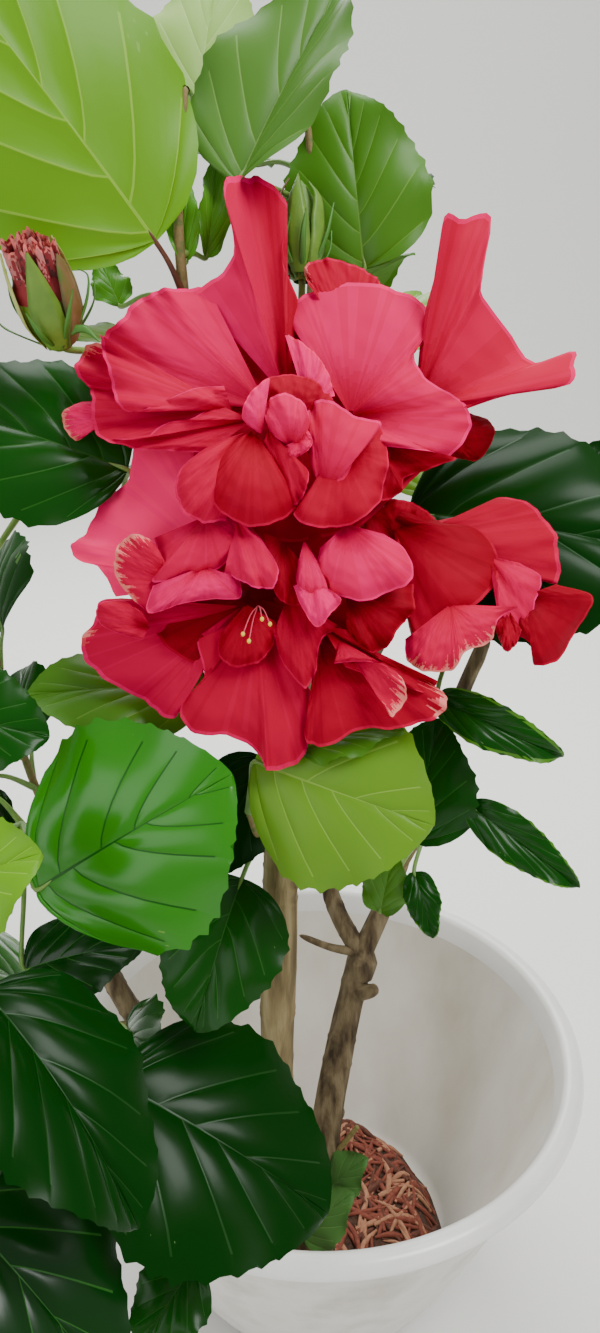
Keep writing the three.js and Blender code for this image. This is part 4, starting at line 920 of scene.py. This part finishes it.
def added_leaves(name, mass):
    """Leaves that spiral up the twig wherever there is room."""
    following = seeded(mass["seed"])

    def drawn(key):
        least, span = DRAWS[key]
        return least + span * following()

    added = []
    for i in range(mass["count"] * TRIES_PER_LEAF):
        if len(added) == mass["count"]:
            break
        t = mass["first"] + (1 - mass["first"]) * following()
        root = curve_point(mass["twig"], t)[0]
        tangent = curve_tangent(mass["twig"], t)[0]
        spin = i * GOLDEN_ANGLE + drawn("spin")
        side = unit(np.cross(tangent, ACROSS if abs(tangent[2]) > 0.9 else UP))
        outward = np.array([root[0], root[1], 0]) / CROWN_REACH
        heading = turned(side, tangent, spin) + tangent * ALONG_TWIG + outward * OUTWARD
        heading = unit(heading + UP * drawn("rise"))
        long = drawn("long")
        foot = root + heading * drawn("stalk") + UP * FOOT_RISE
        face = UP * FACE_UP + outward * FACE_OUT
        leaf = {"foot": foot, "heading": heading, "root": root, "face": face, "long": long}
        for key in ("bend", "roll", "phase"):
            leaf[key] = drawn(key)
        leaf["tint"] = FILLER_TINTS[(i + mass["seed"]) % len(FILLER_TINTS)]
        leaf = aimed(leaf)
        if fits(name, leaf):
            claim_leaf(name, leaf)
            added.append(leaf)
    return added


# Petals: each a fan from its foot to its rim, which swells towards the eye and ruffles along the rim
PETAL_ROWS = 34
SMALL_PETAL_ROWS = 24
PETAL_COLUMNS = 48
FRINGED_COLUMNS = 110
PETAL_THICKNESS = 0.5
STREAKS = 40
STREAK_TONE = 0.22
GRAIN_TONE = 0.12
# Painted shade: how much deeper a petal's tone is at its foot
FOOT_SHADE = 0.8
# A painted highlight: how much paler a petal's last rows are, along its rim
RIM_HIGHLIGHT = 1.1
RIM_HIGHLIGHT_START = 0.975
FRINGE_DEPTH = 0.3


def petal_place(petal, u, v, raised=0.0):
    """Places on a petal: u from its foot to its rim, v along the rim."""
    u, v, raised = np.broadcast_arrays(*(np.asarray(grid, float) for grid in (u, v, raised)))
    foot = seen(petal["foot"])
    toward = unit(EYE - foot)
    share = (v.ravel() + 1) / 2
    away = radius_at(petal["away"], np.linspace(0, 1, len(petal["rim"])))
    corners = [seen([*pixel, distance]) for pixel, distance in zip(petal["rim"], away)]
    rim = curve_point(corners, share).reshape(*u.shape, 3)
    swell = petal["belly"] * np.sin(np.pi * u) * (1 - 0.4 * v * v)
    ruffle = petal["ruffle"] * u**3 * np.sin(petal["waves"] * np.pi * v + petal["phase"])
    return foot + (rim - foot) * u[..., None] + np.multiply.outer(swell + ruffle + raised, toward)


def petals_of(bloom):
    """A bloom's petals, finished with the usual values."""
    usual = {"ruffle": 1.2, "waves": 3, "fold": 1.3, "roll": 2.2, "lean": 0}
    return [{**usual, "phase": 1.7 * i, **petal} for i, petal in enumerate(bloom["petals"])]


def petal_relief(petal, u, v):
    """Folds that run out from the foot, crinkles toward the rim, a rolled edge and fine rays."""
    edge = smooth(0.45, 1, u)
    turn = petal["phase"]
    folds = np.sin(5.5 * v + 2 * turn) + 0.6 * np.sin(9 * v + 3 * turn + 2 * u)
    fold = petal["fold"] * folds * u * (1.3 - u)
    crinkle = 0.7 * edge * np.sin(12 * v + 2 * turn + 5 * u) + 0.35 * edge * np.sin(27 * v + 11 * u + turn)
    crinkle = crinkle + 0.9 * smooth(0.78, 1, u) * np.sin(22 * v + 2.5 * np.sin(5 * v + turn) + 3 * turn)
    pucker = 0.22 * smooth(0.2, 0.6, u) * np.sin(31 * u + 4 * np.sin(7 * v + turn)) * np.sin(19 * v + turn)
    rays = 0.07 * np.sin(60 * v + 3 * np.sin(5 * v)) * smooth(0.1, 0.4, u)
    return fold + crinkle + pucker + rays - petal["roll"] * smooth(0.76, 1, u) ** 2


def petal_looks(petal, rows, columns, rng):
    """Each face's material: tones that deepen toward the foot as painted shade, in streaks, a painted
    highlight along the rim and a worn fringe that is partly painted sheen.
    """
    across = np.linspace(0, STREAKS, columns - 1)
    streak = np.interp(across, np.arange(STREAKS + 1), rng.uniform(-STREAK_TONE, STREAK_TONE, STREAKS + 1))
    rise = np.linspace(0, 1, rows - 1)[:, None]
    # Painted shade deepens the tone toward the foot, and a painted highlight pales the last rows along the
    # rim
    tone = petal["tone"] - FOOT_SHADE * (1 - smooth(0, 0.45, rise)) + RIM_HIGHLIGHT * (rise > RIM_HIGHLIGHT_START)
    tone = tone + streak[None, :] * (1 - 0.3 * rise) + rng.uniform(-GRAIN_TONE, GRAIN_TONE, (1, columns - 1))
    # Painted shade: the lean darkens one side of the petal and pales the other
    tone = tone + petal["lean"] * np.linspace(-1, 1, columns - 1)[None, :]
    names = np.array([f"petal_{i}" for i in range(TONE_COUNT)], dtype=object)
    names = names[np.clip(np.rint(tone * TONE_STEPS), 0, TONE_COUNT - 1).astype(int)]
    if "fringe" in petal:
        low, high = petal["fringe"]
        share = np.linspace(0, 1, columns - 1)[None, :]
        # Pale streaks that reach in from the rim, deeper in patches: wear, and partly a painted sheen
        inside = smooth(low, low + 0.12, share) * (1 - smooth(high - 0.12, high, share))
        patchy = 0.6 + 0.4 * np.sin(across * 2.3 + petal["phase"])[None, :]
        deep = FRINGE_DEPTH * inside * patchy
        streaks = rng.random((1, columns - 1)) ** 1.6 + rng.uniform(-0.3, 0.3, (rows - 1, columns - 1))
        wear_and_sheen = 1 - deep * (0.25 + 0.75 * streaks)
        names = np.where((rise > wear_and_sheen) & (deep > 0.02), "fringe_pink", names)
        names = np.where((rise > 1 - 0.55 * (1 - wear_and_sheen)) & (deep > 0.06), "fringe", names)
    return list(names.ravel())


def add_petal(pile, petal, rng):
    """A petal's two sides, which close on each other at its notched rim."""
    columns = FRINGED_COLUMNS if "fringe" in petal else PETAL_COLUMNS
    rows = SMALL_PETAL_ROWS if petal.get("small") else PETAL_ROWS
    u = np.linspace(0.04, 1, rows)[:, None]
    v = np.linspace(-1, 1, columns)[None, :]
    notch = 0.008 * np.sin(17 * v + petal["phase"] * 3) + 0.005 * np.sin(41 * v + petal["phase"])
    reach = u * (1 + notch * smooth(0.6, 1, u))
    relief = petal_relief(petal, u, v)
    top = petal_place(petal, reach, v, relief)
    bottom = petal_place(petal, reach, v, relief - PETAL_THICKNESS * (1 - u**8))
    faces = grid_faces(rows, columns)
    looks = petal_looks(petal, rows, columns, rng)
    pile.add(top.reshape(-1, 3), faces, looks)
    pile.add(bottom.reshape(-1, 3), faces[:, ::-1], looks)


# Blooms
CALYX = {"long": 24, "thick": 9}
CALYX_SHAPE = [0.3, 0.8, 1, 1.05, 0.9]
HEART_SHAPE = [0.6, 1, 1, 0.7, 0.05]
HEART_REACH = 6
CALYX_LAP = 4
ELBOW_SHARE = 0.4
ELBOW_BACK = 6
BLOOM_STALK_RADII = [2.4, 2, 2, 2.4]
BLOOM_SEED = 7
ANTHERS = [(243, 634), (249, 641), (262, 619), (270, 624)]
ANTHER_AWAY = 383
THREADS_FROM = [258, 606, 398]
THREAD_RADII = [0.3, 0.25, 0.2]
ANTHER_RADII = [0.2, 0.7, 0.85, 0.7, 0.2]


def spindle(start, end, thick, shape):
    """A solid of revolution from start to end, whose radii follow the shape."""
    points = [mix(start, end, i / (len(shape) - 1)) for i in range(len(shape))]
    return tube(points, [s * thick for s in shape], 24, (len(shape) - 1) * 8)


def add_bloom(petals_pile, green_pile, name, bloom):
    """A bloom's petals round its heart, and the calyx and stalk behind them."""
    heart = seen(bloom["heart"])
    axis = unit(np.array(bloom["facing"], float))
    back = heart - axis * CALYX["long"]
    joint = np.array(bloom["joint"], float)
    elbow = mix(back, joint, ELBOW_SHARE) - axis * ELBOW_BACK
    rng = np.random.default_rng(BLOOM_SEED)
    u, v = np.meshgrid(*PETAL_SAMPLES, indexing="ij")
    for petal in petals_of(bloom):
        add_petal(petals_pile, petal, rng)
        claim(name, petal_place(petal, u, v).reshape(-1, 3), BLOOM_CLEAR)
    green_pile.add(*spindle(back, heart - axis * CALYX_LAP, CALYX["thick"], CALYX_SHAPE), "calyx")
    core = (heart - axis * HEART_REACH, heart + axis * HEART_REACH)
    # The core takes a dark petal tone as painted shade in the bloom's heart
    petals_pile.add(*spindle(*core, CALYX["thick"], HEART_SHAPE), "petal_1")
    path = [joint, elbow, back, back + axis * CALYX_LAP]
    green_pile.add(*tube(path, BLOOM_STALK_RADII, 12, 40), "stalk")


def add_anthers(pile):
    """The few anthers that show in the lower bloom, each on its thread."""
    for px, py in ANTHERS:
        place = seen([px, py, ANTHER_AWAY])
        root = seen(THREADS_FROM)
        pile.add(*tube([root, mix(root, place, 0.5) + UP * 2, place], THREAD_RADII, 6, 12), "filament")
        pile.add(*tube([place - UP, place + UP], ANTHER_RADII, 10, 8), "anther")


# Buds
STRAP_STEPS = 26
# A strap's cross section: shares of its half width and of its thickness
STRAP_SECTION = [(-1, 0), (-0.5, 0.7), (0, 1), (0.5, 0.7), (1, 0), (0.5, -0.3), (0, 0.1), (-0.5, -0.3)]
CRUMPLED_GRID = (22, 26)
CRUMPLED_THICKNESS = 0.4
BUD_STALK_RADII = [2.2, 1.6, 1.6, 2]
BUD_SIDES = 60
BUD_RINGS = 40
RIB_DEPTH = 0.07
SEPALS = 5
SEPAL_PLACES = [0.06, 0.3, 0.55, 0.8]
SEPAL_OUT = np.array([0.6, 1.0, 1.08, 1.06])
SEPAL_WIDTHS = (0.8, 1.15, 1.1, 0.6, 0.06)
BRACT_WIDTHS = [2.2, 3, 2.2, 0.4]
BRACT_CURL = (0.1, 0.6)
BRACT_THICKNESS = 0.5


def add_strap(pile, path, widths, thick, look, facing):
    """A narrow pointed bract or sepal along a path, keeled down its middle."""
    t = np.linspace(0, 1, STRAP_STEPS)
    centre = curve_point(path, t)
    tangent = curve_tangent(path, t)
    half = radius_at(widths, t) / 2
    face = facing - tangent * (tangent @ facing)[:, None]
    face = face / np.linalg.norm(face, axis=1)[:, None]
    side = np.cross(tangent, face)
    rows = [centre + side * (half * share)[:, None] + face * lift * thick for share, lift in STRAP_SECTION]
    pile.add(np.stack(rows, axis=1).reshape(-1, 3), grid_faces(len(t), len(rows), closed=True), look)


def around(axis, degrees):
    """A direction square to the axis, turned about it."""
    return turned(unit(np.cross(axis, UP)), axis, degrees)


def add_crumpled(pile, start, top, out, wide, rng):
    """A young petal, crumpled and ragged at its tip."""
    rows, columns = CRUMPLED_GRID
    cells = (rows - 1, columns - 1)
    u, v = np.meshgrid(np.linspace(0, 1, rows), np.linspace(-1, 1, columns), indexing="ij")
    side = unit(np.cross(top - start, out))
    phase = rng.uniform(0, 6.28)
    ragged = 0.05 * np.sin(9 * v + phase) + 0.04 * np.sin(23 * v + 2 * phase)
    reach = u * (1 + ragged * smooth(0.5, 1, u)) * (1 - 0.12 * v * v)
    crumple = (0.3 + 1.1 * u) * np.sin(7 * v + phase + 2 * u) + 0.35 * u * np.sin(19 * v + 9 * u)
    bow = crumple - 0.22 * wide * v * v
    grid = start + np.multiply.outer(reach, top - start) + np.multiply.outer(0.5 * wide * v, side)
    grid = grid + np.multiply.outer(bow, out)
    # The tones follow the crumples: painted shade darkens their troughs and the foot deep in the bud, painted
    # light pales the crests toward the tip
    tone = 1.1 * u[:-1, :-1] + 0.5 * np.sin(7 * v + phase + 2 * u)[:-1, :-1] + rng.uniform(-0.35, 0.35, cells)
    looks = np.where(tone > 1.05, "bud_pink", np.where(tone > 0.35, "bud_red", "bud_dark"))
    looks = list(np.where((u[:-1, :-1] > 0.9) & (rng.random(cells) < 0.5), "fringe", looks).ravel())
    faces = grid_faces(rows, columns)
    pile.add(grid.reshape(-1, 3), faces, looks)
    pile.add((grid - CRUMPLED_THICKNESS * out).reshape(-1, 3), faces[:, ::-1], looks)


def add_bud_body(pile, bud, foot, axis):
    """A bud's body, ribbed where its sepals meet, with red inside its mouth."""
    t = np.linspace(0, 1, BUD_RINGS)[:, None]
    angle = (np.arange(BUD_SIDES) * 2 * np.pi / BUD_SIDES)[None, :]
    radius = bud["thick"] * radius_at(bud["shape"], t)
    ribbed = 1 - RIB_DEPTH * np.abs(np.cos(2.5 * angle)) ** 6
    body = bud["long"] * min(bud["opened"] + 0.12, 1)
    reach = radius * ribbed * (1 - 0.5 * smooth(0.93, 1, t))
    first, second = around(axis, 0), around(axis, 90)
    grid = foot + axis * body * t[..., None] + first * (reach * np.cos(angle))[..., None]
    grid = grid + second * (reach * np.sin(angle))[..., None]
    fifth = ((angle + 0.3) // (2 * np.pi / SEPALS)).astype(int) % len(bud["looks"])
    green = np.array(bud["looks"], dtype=object)[np.broadcast_to(fifth, (BUD_RINGS - 1, BUD_SIDES))]
    looks = np.where(np.broadcast_to(t[:-1], green.shape) < bud["opened"], green, "bud_red")
    pile.add(grid.reshape(-1, 3), grid_faces(BUD_RINGS, BUD_SIDES, closed=True), list(looks.ravel()))
    cap = [foot + axis * (body - 1.5), foot + axis * (body + 0.5)]
    pile.add(*tube(cap, [bud["thick"] * bud["shape"][-1] * 0.5, 0.2], 16, 4), "bud_dark")


def add_bud_petals(pile, bud, foot, axis, rng):
    """Crumpled petals in a bud's open mouth."""
    long, thick = bud["long"], bud["thick"]
    for i in range(bud["petals"]):
        inner = i % 3 / 3
        out = around(axis, GOLDEN_ANGLE * i + rng.uniform(-12, 12))
        start = foot + axis * long * 0.55 + out * thick * (0.9 - 0.5 * inner)
        top = foot + axis * long * (1.02 + rng.uniform(-0.07, 0.05)) + out * thick * (0.85 - 0.7 * inner)
        add_crumpled(pile, start, top, out, thick * rng.uniform(0.9, 1.2), rng)


def add_sepals(pile, bud, foot, axis, rng):
    """A bud's sepals, free at their tips."""
    for i in range(SEPALS):
        out = around(axis, 360 / SEPALS * i + 36 + rng.uniform(-8, 8))
        apart = bud["thick"] * SEPAL_OUT
        places = [foot + axis * bud["long"] * s + out * r for s, r in zip(SEPAL_PLACES, apart)]
        places.append(foot + axis * bud["long"] * rng.uniform(0.9, 1.04) + out * bud["thick"] * bud["splay"])
        widths = [bud["thick"] * w for w in SEPAL_WIDTHS]
        add_strap(pile, places, widths, 0.7, bud["looks"][i % len(bud["looks"])], out)


def add_bracts(pile, bud, foot, axis, rng):
    """Narrow bracts below a bud, some curled away."""
    for i in range(bud["bracts"]):
        turn = 360 / bud["bracts"] * i + rng.uniform(-14, 14)
        out = around(axis, turn)
        curl = rng.uniform(*BRACT_CURL)
        long = bud["long"] * rng.uniform(0.55, 0.8)
        aside = around(axis, turn + 90) * rng.uniform(-0.2, 0.2) * long
        start = foot + axis * 1 + out * bud["thick"] * 0.4
        middle = start + axis * long * 0.5 + out * (bud["thick"] * 0.8 + curl * long * 0.35)
        last = start + axis * long * (1 - 0.5 * curl) + out * (bud["thick"] * 0.9 + curl * long * 0.5) + aside
        add_strap(pile, [start, middle, last], BRACT_WIDTHS, BRACT_THICKNESS, "bract", out)
    for path, widths in bud["curled"]:
        places = [seen(p) for p in path]
        add_strap(pile, places, widths, BRACT_THICKNESS, "bract", unit(EYE - places[0]))


def add_bud(pile, bud):
    path = [seen(p) for p in bud["stalk"]]
    foot = path[-1]
    axis = unit(seen(bud["tip"]) - foot)
    end = foot + axis * bud["long"]
    stalk = [np.array(bud["from"], float), *path, mix(foot, end, 0.1)]
    pile.add(*tube(stalk, BUD_STALK_RADII, 10, 40), "stalk")
    add_bud_body(pile, bud, foot, axis)
    rng = np.random.default_rng(bud["seed"])
    for add_part in (add_bud_petals, add_sepals, add_bracts):
        add_part(pile, bud, foot, axis, rng)


# Bark
SCAR_APART = 34
KNOT_APART = 40
BOUGH_STRENGTH = 0.6
LIMB_SIDES = 36
LIMB_STEP = 1.6
BARKS = {"stem_front": "bark_tan", "bough_upper": "bark_tan", "bough_upper_left": "bark_tan"}
# Broken spurs and a bare twig: paths of [pixel x, pixel y, distance], then radii
SPURS = {
    "stem_back": [
        ([[362, 992, 594], [370, 991, 590], [377, 988, 587]], [5, 4.2, 3]),
        ([[356, 952, 594], [330, 947, 590], [299, 935, 586]], [3, 2.2, 1.7]),
        ([[338, 1114, 620], [328, 1106, 614], [318, 1094, 610]], [5, 3.6, 2.6]),
        ([[361, 978, 597], [362, 962, 596], [362, 944, 596]], [6.6, 9.2, 6]),
    ],
}


def bark_relief(seed, height, strength):
    """A limb's relief: furrows along it, leaf scars round it and a few knots."""
    rng = np.random.default_rng(seed)
    phases = rng.uniform(0, 6.28, 6)
    scars = rng.uniform(0.04, 0.96, max(3, int(height / SCAR_APART)))
    knots = [
        (rng.uniform(0, 6.28), rng.uniform(0.1, 0.95), rng.uniform(0.5, 1.3))
        for _ in range(int(height / KNOT_APART))
    ]

    def relief(angle, t):
        z = t * height
        furrow = np.sin(7 * angle + phases[0] + 1.6 * math.sin(z / 21))
        furrow = furrow + 0.6 * np.sin(13 * angle + phases[1] + z / 9)
        lump = np.sin(2 * angle + phases[2] + z / 26) * 0.5 + math.sin(z / 17 + phases[3]) * 0.4
        ring = sum(math.exp(-(((t - s) * height) / 1.6) ** 2) for s in scars)
        knot = 0 * angle
        for bearing, along, size in knots:
            turn = np.abs((angle - bearing + np.pi) % (2 * np.pi) - np.pi)
            knot = knot + size * np.exp(-((turn / 0.55) ** 2) - (((t - along) * height) / 4.5) ** 2)
        return strength * (0.16 * furrow + 0.35 * lump + 0.45 * ring + 1.1 * knot)

    return relief


def add_limbs():
    for seed, (name, limb) in enumerate({**STEMS, **BOUGHS}.items()):
        height = sum(np.linalg.norm(np.subtract(a, b)) for a, b in zip(limb["points"], limb["points"][1:]))
        relief = bark_relief(seed + 1, height, 1.0 if name in STEMS else BOUGH_STRENGTH)
        look = BARKS.get(name, "bark_grey")
        pile = Pile()
        steps = int(height / LIMB_STEP)
        pile.add(*tube(limb["points"], rounded_ends(limb["radii"]), LIMB_SIDES, steps, relief), look)
        for path, radii in SPURS.get(name, []):
            pile.add(*tube([seen(p) for p in path], rounded_ends(radii, cap=0.2), 18, 40), look)
        pile.piece(f"{name}_bark", "bark", name)
        claim(name, curve_point(limb["points"], even_shares(LIMB_CLAIMS)), LIMB_CLEAR)


# Basin
BASIN_SIDES = 160
WALL_RINGS = 26
WALL_START = 8
WALL_STOP = 9
RIM_TURNS = np.radians(np.linspace(-40, 150, 20))


def wall_radius(z):
    """The wall's outer radius at a height."""
    flare = POT["rim"] - POT["lip"] - POT["foot"]
    return POT["foot"] + flare * (np.asarray(z) / POT["height"]) ** POT["swell"]


def lathe(profile, sides):
    """Points and faces of an open profile of radius and height, turned about the pot's axis."""
    profile = np.asarray(profile, float)
    angle = np.arange(sides) * 2 * np.pi / sides
    r, z = profile[:, 0][:, None], profile[:, 1][:, None]
    points = np.stack([r * np.cos(angle), r * np.sin(angle), z + 0 * angle], axis=-1)
    return points.reshape(-1, 3), grid_faces(len(profile), sides, closed=True)


def add_pot():
    pile = Pile()
    wall, lip, floor = POT["wall"], POT["lip"], POT["floor"]
    rim_height = POT["height"] - lip
    middle = POT["rim"] - lip
    heights = np.linspace(WALL_START, rim_height - WALL_STOP, WALL_RINGS)
    outer = [[wall_radius(z), z] for z in heights]
    foot = [[0.5, 0], [POT["foot"] - 8, 0], [POT["foot"] - 3, 0.8], [wall_radius(4), 3.4]]
    ledge = [middle + lip * 0.55, rim_height - 5.5]
    roll = [[middle + lip * math.cos(a), rim_height + lip * math.sin(a)] for a in RIM_TURNS]
    inner = [[wall_radius(z) - wall, z] for z in heights[::-1]]
    bottom = [[wall_radius(floor) - wall - 4, floor], [0.5, floor]]
    profiles = {
        "basin": [*foot, *outer],
        "basin_rim": [outer[-1], ledge, *roll, inner[0]],
        "basin_inside": [*inner, *bottom],
    }
    for look, profile in profiles.items():
        pile.add(*lathe(profile, BASIN_SIDES), look)
    pile.piece("basin", "pot", "pot")


# Soil
SOIL_RINGS = 60
SOIL_SIDES = 180
SHREDS = 760
SHRED_LOOKS = ["shred_red", "shred_brown", "shred_red", "shred_pale"]
SHRED_SHAPE = [0.6, 1, 0.9, 0.4]
SHRED_SEED = 12


def soil_height(x, y):
    """Height of the heap in the basin's bottom."""
    apart = np.hypot(x - SOIL["x"], y - SOIL["y"])
    level, flat, bank = SOIL["level"], SOIL["flat"], SOIL["bank"]
    heap = np.interp(apart, [0, flat, bank - 3, bank], [level, level, 30, 6])
    lumps = 1.6 * np.sin(x / 7.3 + 1.4 * np.sin(y / 11)) + 1.3 * np.sin(y / 6.1 + 1.1 * np.sin(x / 9))
    return heap + lumps * smooth(0, 20, heap - 6) * 0.9


def add_shreds(pile):
    """Bark shreds strewn on the soil, each bowed. One that would cut the basin's wall is left out."""
    rng = np.random.default_rng(SHRED_SEED)
    for _ in range(SHREDS):
        reach, turn = SOIL["bank"] * 0.9 * math.sqrt(rng.random()), rng.uniform(0, 2 * np.pi)
        centre = np.array([SOIL["x"] + reach * math.cos(turn), SOIL["y"] + reach * math.sin(turn)])
        half, heading = rng.uniform(6, 20), rng.uniform(0, np.pi)
        step = np.array([math.cos(heading), math.sin(heading)]) * half
        bow = np.array([-step[1], step[0]]) * rng.uniform(-0.25, 0.25)
        path = [centre - step, centre + bow, centre + step]
        path = [np.array([*p, soil_height(*p) + rng.uniform(0.4, 2.2)]) for p in path]
        if any(np.hypot(p[0], p[1]) > wall_radius(p[2]) - POT["wall"] - 1.5 for p in path):
            continue
        width = rng.uniform(0.9, 2.4)
        look = SHRED_LOOKS[rng.integers(len(SHRED_LOOKS))]
        pile.add(*tube(path, [width * share for share in SHRED_SHAPE], 6, 8), look)


def add_soil():
    pile = Pile()
    reach = SOIL["bank"] * np.linspace(0, 1, SOIL_RINGS)[:, None]
    angle = (np.arange(SOIL_SIDES) * 2 * np.pi / SOIL_SIDES)[None, :]
    x, y = SOIL["x"] + reach * np.cos(angle), SOIL["y"] + reach * np.sin(angle)
    z = soil_height(x, y)
    limit = wall_radius(np.clip(z, 0, 60)) - POT["wall"] - 0.5
    squeeze = np.minimum(1, limit / np.maximum(np.hypot(x, y), 1))
    points = np.stack([x * squeeze, y * squeeze, z], axis=-1).reshape(-1, 3)
    pile.add(points, grid_faces(SOIL_RINGS, SOIL_SIDES, closed=True), "soil")
    add_shreds(pile)
    pile.piece("soil_and_bark", "soil", "soil")


# Growth
TWIG_RADII = [2.6, 2, 1.3]

add_limbs()
add_pot()
add_soil()
for name, bloom in BLOOMS.items():
    petals_pile, green_pile = Pile(), Pile()
    add_bloom(petals_pile, green_pile, name, bloom)
    if name == "bloom_lower":
        add_anthers(petals_pile)
    petals_pile.piece(f"{name}_petals", "petal", name)
    green_pile.piece(f"{name}_calyx", "bud")
for name, bud in BUDS.items():
    pile = Pile()
    add_bud(pile, bud)
    pile.piece(f"{name}_calyx", "bud", name)
    path = [bud["from"], *[seen(p) for p in bud["stalk"]], seen(bud["tip"])]
    claim(name, curve_point(path, even_shares(BUD_CLAIMS)), LEAF_CLEAR)
for name, mass in MASSES.items():
    claim(name, curve_point(mass["twig"], even_shares(TWIG_CLAIMS)), LEAF_CLEAR)
for name, mass in MASSES.items():
    mass["listed"] = listed_leaves(mass)
    for leaf in mass["listed"]:
        claim_leaf(name, leaf)
twigs = Pile()
for name, mass in MASSES.items():
    pile = Pile()
    rng = np.random.default_rng(mass["seed"])
    for leaf in mass["listed"]:
        add_leaf(pile, leaf, True, rng)
    for leaf in added_leaves(name, mass):
        add_leaf(pile, leaf, False, rng)
    pile.piece(f"{name}_blades", "leaf", name)
    twigs.add(*tube(mass["twig"], rounded_ends(TWIG_RADII), 12, 60), "young_bark")
twigs.piece("twigs", "bark")


# Floor, light and camera, in metres
FLOOR = {"reach": 9.0, "start": 2.4, "bend": 2.0, "top": 7.0}
# Each lamp's place, target, size and power
LAMPS = {
    "key": ((0.9, -0.7, 1.9), (0, 0, 0.4), 0.9, 30),
    "fill": ((-1.3, -1.4, 1.0), (0, 0, 0.4), 1.6, 14),
    "back": ((-0.4, 1.5, 1.6), (0, 0, 0.5), 1.2, 22),
    "backdrop": ((0, 0.9, 3.2), (0, 3.4, 0.3), 2.4, 110),
}


def add_floor():
    """A pale floor that sweeps up behind the shrub."""
    start, bend = FLOOR["start"], FLOOR["bend"]
    turns = np.linspace(0, np.pi / 2, 24)
    sweep = [(start + bend * math.sin(turn), bend - bend * math.cos(turn)) for turn in turns]
    profile = [(-FLOOR["reach"], 0.0), *sweep, (start + bend, FLOOR["top"])]
    points = [(side * FLOOR["reach"], y, z) for y, z in profile for side in (-1, 1)]
    mesh = bpy.data.meshes.new("floor")
    mesh.from_pydata(points, [], grid_faces(len(profile), 2).tolist())
    mesh.materials.append(plain("floor", (232, 232, 229), 0.9, Specular_IOR_Level=0.1))
    mesh.shade_smooth()
    floor = bpy.data.objects.new("floor", mesh)
    bpy.context.scene.collection.objects.link(floor)


def add_light(name, place, target, size, power):
    light = bpy.data.lights.new(name, "AREA")
    light.shape = "DISK"
    light.size = size
    light.energy = power
    lamp = bpy.data.objects.new(name, light)
    bpy.context.scene.collection.objects.link(lamp)
    lamp.location = place
    aim = np.array(target) - np.array(place)
    lamp.rotation_mode = "QUATERNION"
    lamp.rotation_quaternion = Vector(aim).to_track_quat("-Z", "Y")


def add_camera():
    data = bpy.data.cameras.new("camera")
    data.sensor_width = FILM
    data.lens = FILM * FOCAL / FRAME_HEIGHT
    data.clip_start = 0.02
    camera = bpy.data.objects.new("camera", data)
    camera.location = EYE * METRE
    camera.rotation_euler = (math.radians(90 - PITCH), 0, 0)
    bpy.context.scene.collection.objects.link(camera)
    bpy.context.scene.camera = camera


def add_world():
    world = bpy.data.worlds.new("studio")
    world.use_nodes = True
    background = world.node_tree.nodes["Background"]
    background.inputs["Color"].default_value = (1.0, 0.99, 0.97, 1.0)
    background.inputs["Strength"].default_value = 0.5
    bpy.context.scene.world = world


add_world()
add_floor()
for name, lamp in LAMPS.items():
    add_light(name, *lamp)
add_camera()
